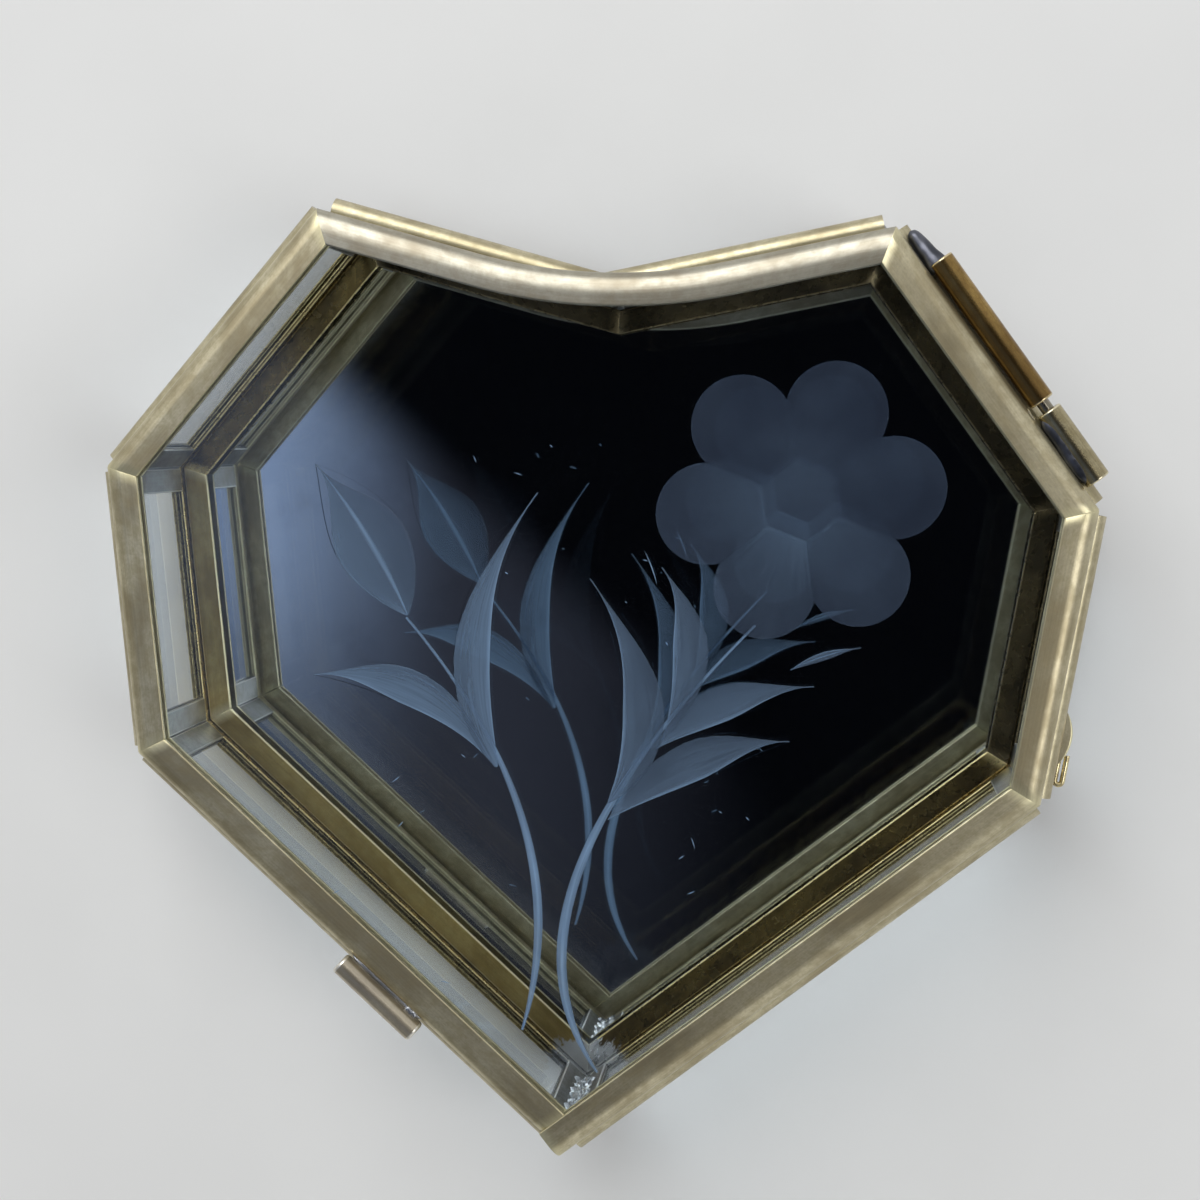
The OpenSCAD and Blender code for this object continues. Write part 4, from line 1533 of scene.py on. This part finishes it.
@dataclass
class SideLug:
    """The half-lens tab under the right rim, and the wire hairpin beside it, in mm.

    Attributes:
        finishes: the finishes to use.
        start: where the tab starts, along the wall.
        length: its length.
        out: how far it bows out of the wall's face.
        height: its height.
        rim_depth: depth of the rim's came, under which it sits.
        wire_r: radius of the hairpin's wire.
        loop_w: width of the hairpin, from wire to wire.
        loop_l: how far it reaches past the tab.
        lap: how far its legs lie under the tab.
        rounding: rounding of the tab's outer edges.
        play: how much shorter the tab is at each end than its solid.
    """

    finishes: Finishes
    start: float = 25.9
    length: float = 6.8
    out: float = 1.25
    height: float = 1.6
    rim_depth: float = 3.3
    wire_r: float = 0.35
    loop_w: float = 0.95
    loop_l: float = 2.6
    lap: float = 1.2
    rounding: float = 0.2
    play: float = 0.02

    def build(self) -> None:
        """Makes the tab and the hairpin."""
        i = Side.RIGHT.value
        face_z = PLAN.wall_h - self.rim_depth
        bow = (self.length ** 2 / 4 + self.out ** 2) / (2 * self.out)
        x = np.linspace(-1, 1, 41) * (self.length / 2 - self.play)
        bulge = np.sqrt(bow ** 2 - x ** 2) - (bow - self.out)
        edge, wear = rounded([Corner(0, 0), Corner(1, 0, self.rounding),
                              Corner(1, 1, self.rounding), Corner(0, 1)])
        y = edge[None, :, 0] * bulge[:, None]
        z = face_z + edge[:, 1] * self.height
        plan = PLAN.wall_point(i, (self.start + self.length / 2 + x)[:, None], -y)
        piece = make_mesh("lug_plate", Surface(raised(plan, z), (x - x[0])[:, None], girth(edge),
                                               wear))
        install(piece, Body.BOX, "aged_brass", self.finishes.aged_brass, "side_lug")
        self.hairpin(i, face_z - self.wire_r)

    def hairpin(self, i: int, z: float) -> None:
        """The bent wire: two legs and a half circle, swept with a round section.

        Args:
            i: its wall.
            z: height of the wire's middle.
        """
        base = self.start + self.length - self.lap
        leg = self.loop_l + self.lap - self.loop_w / 2
        bend = np.linspace(-math.pi / 2, math.pi / 2, 15)
        count = 8
        legs = np.linspace(0, leg, count, endpoint=False)
        s = np.concatenate([legs, leg + np.cos(bend) * self.loop_w / 2, legs[::-1]])
        y = np.concatenate([np.zeros(count), (1 + np.sin(bend)) * self.loop_w / 2,
                            np.full(count, self.loop_w)]) + self.wire_r
        line = PLAN.wall_point(i, base + s, -y)
        run = units(np.gradient(line, axis=0))
        side = np.stack([run[:, 1], -run[:, 0]], -1)
        a = np.linspace(0, FULL_TURN, 20, endpoint=False)
        plan = line[:, None] + self.wire_r * np.cos(a)[None, :, None] * side[:, None]
        points = raised(plan, z + self.wire_r * np.sin(a))
        piece = make_mesh("hairpin_wire", Surface(points, girth(line)[:, None], a * self.wire_r,
                                                  np.zeros(len(a))))
        install(piece, Body.BOX, "pin_wire", self.finishes.pin_wire, "side_loop")


class DeepSide(Enum):
    """The side of a leaf on which the wheel went deepest, seen from its base."""

    LEFT = 1.0
    RIGHT = -1.0
    MIDDLE = 0.0


@dataclass(frozen=True)
class Leaf:
    """A cut leaf: its spine's three points, half width, belly, deep side and paleness."""

    base: tuple[float, float]
    bend: tuple[float, float]
    tip: tuple[float, float]
    half: float
    belly: float
    deep: DeepSide
    tone: float = 0.24


@dataclass(frozen=True)
class Stem:
    """A cut stem: its spine's three points, the line's half width, its swelling and belly."""

    start: tuple[float, float]
    bend: tuple[float, float]
    end: tuple[float, float]
    line: float
    half: float
    belly: float


LEAVES = (
    Leaf((-22.4, 8.6), (-27.4, 19.0), (-34.8, 27.1), 4.7, 0.45, DeepSide.MIDDLE, 0.22),
    Leaf((-10.6, -10.0), (-19.0, 3.0), (-34.3, 0.5), 2.3, 0.55, DeepSide.LEFT, 0.38),
    Leaf((-10.3, -10.0), (-19.5, 6.0), (-6.5, 24.9), 2.3, 0.40, DeepSide.RIGHT, 0.36),
    Leaf((3.7, -13.7), (13.4, -2.4), (0.3, 14.5), 2.6, 0.45, DeepSide.LEFT),
    Leaf((10.2, -5.4), (16.9, 6.6), (9.2, 16.3), 2.2, 0.50, DeepSide.LEFT),
    Leaf((9.5, -6.5), (15.4, 1.2), (28.8, 2.4), 2.2, 0.50, DeepSide.RIGHT),
    Leaf((3.8, -15.8), (13.4, -5.2), (26.1, -4.6), 2.5, 0.50, DeepSide.RIGHT),
    Leaf((25.7, 4.3), (29.6, 6.6), (34.2, 7.5), 0.5, 0.50, DeepSide.MIDDLE),
)
STEMS = (
    Stem((-22.6, 8.4), (1.0, -17.0), (-5.9, -43.3), 0.15, 0.4, 0.68),
    Stem((21.1, 9.6), (-12.0, -27.0), (3.9, -48.1), 0.14, 0.5, 0.64),
)


@dataclass
class WheelCutSpray:
    """The matt skin of the cuts in the lid's top: six petals, a heart, leaves and stems.

    Attributes:
        finishes: the finishes to use.
        cut_d: depth of the cuts in the solid glass, in mm, as the sizes that follow are.
        flower: the flower's middle.
        petals: number of its petals.
        turn: direction of its first petal, in degrees.
        petal_at: distance from the middle to the centre of a petal's round end.
        petal_r: radius of that end.
        heart_r: distance from the middle to the heart's corners.
        ridge: half width of the ridge between two facets.
        slope: width over which a facet falls to its whole depth.
        proud: how far the skin stands above the glass on a ridge.
        drawn: power that draws out the tips of the leaves.
        play: air between the skin and the walls of its cut.
        petal_dip: depth of a petal at its round end, and what is added by the heart.
        heart_dip: depth of the heart.
        leaf_dip: least depth of a leaf, and what is added on its deep side.
        stem_dip: least depth of a stem, and what is added in its middle.
        frayed: unevenness of the side on which a leaf fades off.
    """

    finishes: Finishes
    cut_d: float = 0.3
    flower: tuple[float, float] = (25.9, 25.2)
    petals: int = 6
    turn: float = 10.5
    petal_at: float = 11.6
    petal_r: float = 6.3
    heart_r: float = 5.0
    ridge: float = 0.17
    slope: float = 0.5
    proud: float = 0.006
    drawn: float = 2.0
    play: float = 0.01
    petal_dip: tuple[float, float] = (0.08, 0.10)
    heart_dip: float = 0.16
    leaf_dip: tuple[float, float] = (0.04, 0.18)
    stem_dip: tuple[float, float] = (0.04, 0.2)
    frayed: Waves = ((4.1, 0.012), (1.7, 0.01), (0.8, 0.006))

    @property
    def top(self) -> float:
        """Height of the lid glass's top face."""
        return PLAN.lid_z + PLAN.glass_t / 2

    def build(self) -> None:
        """Makes every cut."""
        for k in range(self.petals):
            self.petal(k)
        self.heart()
        for k, leaf in enumerate(LEAVES):
            self.leaf(k, leaf)
        for k, stem in enumerate(STEMS):
            self.stem(k, stem)

    def inlay(self, name: str, plan: Array, depth: Array, along: Array, across: Array,
              shade: Array) -> None:
        """A thin closed skin over a patch of points, with its underside in the glass.

        Args:
            name: name of the piece.
            plan: grid of plan points, rows along the cut and columns across it.
            depth: how far the skin lies below the glass's top, for each point.
            along: mm along the cut, for each point.
            across: mm across the cut, for each column.
            shade: how hard the wheel ground, 0 to 1, for each point; on the petals it is
                painted light.
        """
        uv = np.stack([along, np.broadcast_to(across, along.shape)], -1)
        piece = make_slab(name, raised(plan, self.top - depth),
                          raised(plan, self.top - self.cut_d + self.play), uv, shade)
        install(piece, Body.LID, "clear_glass", self.finishes.wheel_cut)

    def facet(self, to_edge: Array, dip: Union[float, Array]) -> Array:
        """Depth of a hollow ground facet: none on the ridge that it shares with its
        neighbours, where it just covers the glass, and the whole dip half a mm inside.

        Args:
            to_edge: distance of each point from the facet's shared edges, in mm.
            dip: depth of the hollow.

        Returns:
            Depth below the glass's top.
        """
        t = np.clip((to_edge - self.ridge) / self.slope, 0, 1)
        return dip * t * t * (3 - 2 * t) - self.proud

    def petal(self, k: int) -> None:
        """A petal, in polar places about the flower: it runs out from the heart's side
        x = apothem to the round end r = c cos a + sqrt(R^2 - c^2 sin^2 a). It is deepest
        by the heart. Its paleness is painted light: paler by the heart and on the lower
        petals, and a little lighter on one side, as light falls on the slanted facets.

        Args:
            k: number of the petal.
        """
        half = math.pi / self.petals
        a = half * 0.998 * np.sin(np.linspace(-math.pi / 2, math.pi / 2, 41))
        r = np.linspace(0, 1, 30)[:, None] ** 1.5
        apothem = self.heart_r * math.cos(half)
        inner = apothem / np.cos(a) + self.play
        outer = self.petal_at * np.cos(a) + np.sqrt(
            self.petal_r ** 2 - (self.petal_at * np.sin(a)) ** 2) - 2 * self.play
        reach = inner * (1 - r) + outer * r
        middle = math.radians(self.turn) + k * 2 * half
        turn = middle + a
        plan = np.array(self.flower) + reach[..., None] * np.stack([np.cos(turn), np.sin(turn)], -1)
        to_edge = np.minimum(reach * np.sin(half - np.abs(a)), reach * np.cos(a) - apothem)
        least, more = self.petal_dip
        depth = self.facet(to_edge, least + more * (1 - r))
        # painted light: lower petals paler, most of all by the heart, and one side a little lighter
        low = max(-math.sin(middle + 0.35), 0.0)
        pale = 0.02 + 0.05 * low + (0.03 + 0.14 * low) * (1 - r) ** 1.6
        shade = pale + 0.012 * (a / half) * math.cos(middle)
        self.inlay(f"cut_petal_{k}", plan, depth, reach, a * self.petal_at,
                   np.clip(shade, 0, 1) * np.ones_like(reach))

    def heart(self) -> None:
        """The flower's heart, a hexagon drawn as rows of chords across it."""
        half = math.pi / self.petals
        apothem = self.heart_r * math.cos(half) - self.play
        spread = np.sin(np.linspace(-math.pi / 2, math.pi / 2, 31))
        x = spread[:, None] * apothem
        reach = (self.heart_r - self.play) - np.abs(x) * math.tan(half)
        y = spread[None] * reach
        turn = math.radians(self.turn)
        c, s = math.cos(turn), math.sin(turn)
        across = np.broadcast_to(x, y.shape)
        plan = np.array(self.flower) + np.stack([across * c - y * s, across * s + y * c], -1)
        to_edge = np.minimum(apothem - np.abs(x), (reach - np.abs(y)) * math.cos(half))
        shade = np.clip(0.095 + 0.006 * y, 0, 1)
        depth = self.facet(to_edge, self.heart_dip)
        self.inlay("cut_heart", plan, depth, y, x[:, 0], shade)

    @staticmethod
    def spine(p: Sequence[float], c: Sequence[float], q: Sequence[float],
              t: Array) -> tuple[Array, Array]:
        """Points and left-hand normals of the bend (1-t)^2 p + 2t(1-t) c + t^2 q."""
        p, c, q = (np.array(v, float) for v in (p, c, q))
        t = t[:, None]
        at = (1 - t) ** 2 * p + 2 * t * (1 - t) * c + t ** 2 * q
        run = units((1 - t) * (c - p) + t * (q - c))
        return at, np.stack([-run[:, 1], run[:, 0]], -1)

    @staticmethod
    def swell(t: Array, belly: float, drawn: float = 1.0) -> Array:
        """Rises and falls once, as sin(pi t^k) with k = ln 0.5 / ln belly. Past the belly
        it is raised to the power drawn, which draws the tip out thin."""
        rise = np.sin(math.pi * t ** (math.log(0.5) / math.log(belly)))
        return np.maximum(rise, 0.0) ** np.where(t > belly, drawn, 1.0)

    def leaf(self, k: int, leaf: Leaf) -> None:
        """A leaf: deep and crisp along one side, or down its middle, and fading off it.

        Args:
            k: number of the leaf.
            leaf: its outline.
        """
        t = np.linspace(0.004, 0.996, 60)
        at, side = self.spine(leaf.base, leaf.bend, leaf.tip, t)
        half = np.maximum(leaf.half * self.swell(t, leaf.belly, self.drawn), 0.06)
        w = np.sin(np.linspace(-math.pi / 2, math.pi / 2, 33))
        frayed = 1 + ripple(t * len(t), Seed.LEAF + k, self.frayed)
        edge = np.where(w[None] * leaf.deep.value < 0, frayed[:, None], 1.0)
        plan = at[:, None] + (half[:, None] * w * edge)[..., None] * side[:, None]
        if leaf.deep is DeepSide.MIDDLE:
            near = 1 - np.abs(w)
            body = leaf.tone + 0.10 * w
        else:
            near = (1 + w * leaf.deep.value) / 2
            body = leaf.tone * (0.75 + 0.5 * near)
        near, body = (np.broadcast_to(v, plan.shape[:2]) for v in (near, body))
        tip = np.abs(2 * t - 1)[:, None] ** 6
        shade = np.clip(body + 0.14 * tip + 0.42 * near ** 26, 0, 1)
        least, more = self.leaf_dip
        self.inlay(f"cut_leaf_{k}", plan, least + more * near ** 2,
                   np.broadcast_to(girth(at)[:, None], plan.shape[:2]), w * leaf.half, shade)

    def stem(self, k: int, stem: Stem) -> None:
        """A stem: a line that swells once, deepest in its middle.

        Args:
            k: number of the stem.
            stem: its outline.
        """
        t = np.linspace(0.0, 1.0, 90)
        at, side = self.spine(stem.start, stem.bend, stem.end, t)
        half = stem.line + stem.half * self.swell(t, stem.belly)
        w = np.linspace(-1, 1, 9)
        plan = at[:, None] + (half[:, None] * w)[..., None] * side[:, None]
        near = np.broadcast_to(1 - np.abs(w), plan.shape[:2])
        least, more = self.stem_dip
        self.inlay(f"cut_stem_{k}", plan, least + more * near,
                   np.broadcast_to(girth(at)[:, None], plan.shape[:2]), w * stem.half,
                   0.42 + 0.35 * near)


SCRATCHES = (
    (-14.6, 28.6, 116, 1.0), (-9.1, 27.0, 163, 1.1), (-5.1, 30.6, 129, 0.5),
    (-10.1, 14.6, 154, 0.5), (-14.7, -8.7, 145, 0.8), (-23.2, -12.2, 40, 1.3),
    (-22.4, -17.9, 48, 1.1), (17.9, -13.9, 149, 0.5), (13.3, -19.9, 37, 0.9),
    (14.7, -24.3, 26, 1.1), (7.2, 17.0, 167, 0.7), (8.0, 16.2, 113, 4.6),
    (-15.9, -37.8, 169, 1.5), (-30.4, -27.1, 30, 1.2), (10.3, 6.8, 124, 0.6),
    (5.0, 11.7, 144, 0.3), (21.3, -14.5, 138, 0.7), (14.7, -18.0, 111, 1.6),
)


@dataclass
class SurfaceScratches:
    """Nicks that use has left on the lid's top: place, direction in degrees and length."""

    finishes: Finishes
    half: float = 0.06
    proud: float = 0.008
    shade: float = 0.8
    bow: float = 0.12

    def build(self) -> None:
        """Makes each nick: a lens, half sin(pi t) wide, standing a hair above the glass."""
        top = PLAN.lid_z + PLAN.glass_t / 2
        t = np.linspace(0.03, 0.97, 9)[:, None]
        w = np.array([[-1.0, 0.0, 1.0]])
        for k, (x, y, degrees, length) in enumerate(SCRATCHES):
            a = math.radians(degrees)
            along = np.array([math.cos(a), math.sin(a)])
            across = np.array([-along[1], along[0]])
            run = (t - 0.5) * length + 0 * w
            side = self.half * np.sin(math.pi * t) * w + self.bow * length * (t - 0.5) ** 2
            plan = np.array([x, y]) + run[..., None] * along + side[..., None] * across
            piece = make_slab(f"nick_{k:02d}", raised(plan, top + self.proud),
                              raised(plan, top - self.proud), np.stack([run, side], -1),
                              np.full(run.shape, self.shade))
            install(piece, Body.LID, "clear_glass", self.finishes.wheel_cut)


# ---------------------------------------------------------------- stage


@dataclass
class Studio:
    """Pale floor, soft lamps, a pale room with a dark ceiling, and the photograph's camera.

    Attributes:
        floor_half: half the side of the floor, in metres.
        far_floor: distances at which the floor starts to pale and is as pale as the room.
        eye: the camera's place, in mm.
        right: its axis to the right.
        up: its axis upwards.
        backward: its axis away from the box.
        lens: its focal length behind a sensor 36 mm wide, in mm.
        ceiling: parts along its aim at which the dark ceiling starts and is whole.
        window_edge: direction from the window's edge into it.
        pale: colour of the lit sides of the room.
        shade: colour of its shaded sides.
        dark: colour of its ceiling.
        haze: colour of the ceiling round the window.
        window: colour of the window.
        ambient: colour of the light that the room gives.
    """

    floor_half: float = 3.0
    far_floor: tuple[float, float] = (0.22, 0.75)
    eye: tuple[float, float, float] = (27.97, 32.77, 286.08)
    right: tuple[float, float, float] = (0.9936, 0.0413, -0.1056)
    up: tuple[float, float, float] = (-0.0497, 0.9959, -0.0768)
    backward: tuple[float, float, float] = (0.1020, 0.0816, 0.9915)
    lens: float = 62.1
    ceiling: tuple[float, float] = (0.75, 0.91)
    window_edge: tuple[float, float, float] = (-0.648, -0.761, 0.0)
    pale: tuple[float, float, float] = (0.74, 0.75, 0.76)
    shade: tuple[float, float, float] = (0.16, 0.17, 0.18)
    dark: tuple[float, float, float] = (0.0012, 0.0014, 0.0022)
    haze: tuple[float, float, float] = (0.030, 0.032, 0.045)
    window: tuple[float, float, float] = (0.32, 0.41, 0.62)
    ambient: tuple[float, float, float] = (0.37, 0.375, 0.38)

    def build(self) -> None:
        """Sets the colour transform and makes floor, lamps, room and camera."""
        scene = bpy.context.scene
        scene.view_settings.view_transform = "Standard"
        scene.cycles.transparent_max_bounces = 16
        self.camera()
        self.floor()
        self.room()
        self.lamp("key", (-0.20, 0.50, 0.66), size=0.62, watts=3.9)
        self.lamp("fill", (0.47, -0.06, 0.70), size=0.35, watts=1.2)

    def camera(self) -> None:
        """The camera, square to the axes that the photograph was solved for."""
        data = bpy.data.cameras.new("camera")
        data.lens = self.lens
        data.sensor_width = 36.0
        data.clip_start = 0.005
        camera = linked("camera", data)
        turn = Matrix((self.right, self.up, self.backward)).transposed().to_4x4()
        camera.matrix_world = Matrix.Translation([v * MM for v in self.eye]) @ turn
        bpy.context.scene.camera = camera

    def floor(self) -> None:
        """A pale floor just under the feet."""
        h = self.floor_half
        data = bpy.data.meshes.new("floor")
        data.from_pydata([(-h, -h, 0), (h, -h, 0), (h, h, 0), (-h, h, 0)], [], [(0, 1, 2, 3)])
        floor = linked("floor", data)
        s = Shader("pale_floor")
        grain = s.span(s.noise(s.place(), 30.0, 2.0), 0.2, 0.8)
        skin = s.node("BsdfPrincipled", {
            "Base Color": s.blend(grain, (0.79, 0.79, 0.78), (0.82, 0.82, 0.81)),
            "Roughness": 0.7})
        away = s.node("VectorMath", {0: s.place()}, operation="LENGTH")
        far = s.maths("MULTIPLY", s.span(away.outputs["Value"], *self.far_floor), s.seen())
        haze = s.node("Emission", {"Color": self.pale, "Strength": 1.0})
        data.materials.append(s.done(s.mixed(far, skin.outputs[0], haze.outputs[0])))

    def lamp(self, name: str, place: tuple[float, float, float], size: float, watts: float) -> None:
        """A square soft lamp aimed at the box.

        Args:
            name: name of the lamp.
            place: where it hangs, in metres.
            size: its side, in metres.
            watts: its power.
        """
        data = bpy.data.lights.new(name, "AREA")
        data.size = size
        data.energy = watts
        lamp = linked(name, data)
        z = unit(np.array(place))
        x = unit(np.cross([0.0, 0.0, 1.0], z))
        turn = Matrix([x, np.cross(z, x), z]).transposed().to_4x4()
        lamp.matrix_world = Matrix.Translation(place) @ turn

    def room(self) -> None:
        """The world: even pale light, which metal and glass see with a dark ceiling and a
        soft pale window high on the left."""
        world = bpy.data.worlds.new("room")
        bpy.context.scene.world = world
        s = Shader("room", world)
        way = s.node("TexCoord").outputs["Generated"]

        def aimed(aim: Sequence[float], low: float, high: float) -> Socket:
            """How far a direction turns towards an aim.

            Args:
                aim: the aim, of length 1.
                low: the direction's part along it that gives 0.
                high: the part that gives 1.

            Returns:
                A value from 0 to 1.
            """
            dot = s.node("VectorMath", {0: way, 1: tuple(aim)}, operation="DOT_PRODUCT")
            return s.span(dot.outputs["Value"], low, high)

        path = s.node("LightPath").outputs
        lit_side = aimed(unit(np.array([-0.10, 0.97, 0.15])), -0.5, 0.9)
        front = s.maths("MULTIPLY", aimed(unit(np.array([0.75, -0.62, 0.20])), 0.6, 0.95), 0.7)
        low_front = aimed(unit(np.array([0.30, -0.85, 0.45])), 0.84, 0.97)
        lit_side = s.maths("MAXIMUM", lit_side, s.maths("MAXIMUM", front, low_front))
        sides = s.blend(path["Is Glossy Ray"], self.pale, s.blend(lit_side, self.shade, self.pale))
        ceiling = aimed(unit(np.array([-0.06, -0.10, 1.0])), *self.ceiling)
        seen = s.blend(ceiling, sides, self.dark)
        inside = aimed(self.window_edge, 0.118, 0.158)
        haze = s.maths("MULTIPLY", inside, aimed((-1.0, 0.0, 0.0), 0.0, 0.17))
        glow = s.maths("MULTIPLY", inside, aimed((-1.0, 0.0, 0.0), 0.165, 0.31))
        low = s.maths("SUBTRACT", 1.0, s.maths(
            "MULTIPLY", aimed((0.0, -1.0, 0.0), 0.05, 0.16), 0.62))
        seen = s.blend(s.maths("MULTIPLY", ceiling, haze), seen, self.haze)
        seen = s.blend(s.maths("MULTIPLY", ceiling, s.maths("MULTIPLY", glow, low)),
                       seen, self.window)
        colour = s.blend(s.seen(), self.ambient, seen)
        light = s.node("Background", {"Color": colour, "Strength": 1.0})
        s.node("OutputWorld", {"Surface": light.outputs[0]})


def dress_nodes(finishes: Finishes) -> None:
    """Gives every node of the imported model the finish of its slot."""
    for part in frame["record"]["subparts"]:
        node = frame["nodes"][part["node"]]
        material = finishes.of_slot(part["material_slot"])
        if part["material_slot"] == "clear_glass" and not node.name.startswith("lid"):
            material = finishes.wall_glass
        if not node.material_slots:
            node.data.materials.append(material)
        for slot in node.material_slots:
            slot.material = material
        LOG.info("%s is dressed in %s", node.name, material.name)


def main() -> None:
    """Builds the stage and every sub-assembly, in order."""
    logging.basicConfig(level=logging.INFO, format="%(name)s: %(message)s")
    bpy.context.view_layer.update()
    Studio().build()
    finishes = Finishes()
    dress_nodes(finishes)
    for group in (LidFrame, Walls, MirrorFloor, Hinge, LiftHandle, CornerSeams, TipSolder, SideLug,
                  WheelCutSpray, SurfaceScratches):
        group(finishes).build()


if __name__ == "__main__":
    main()
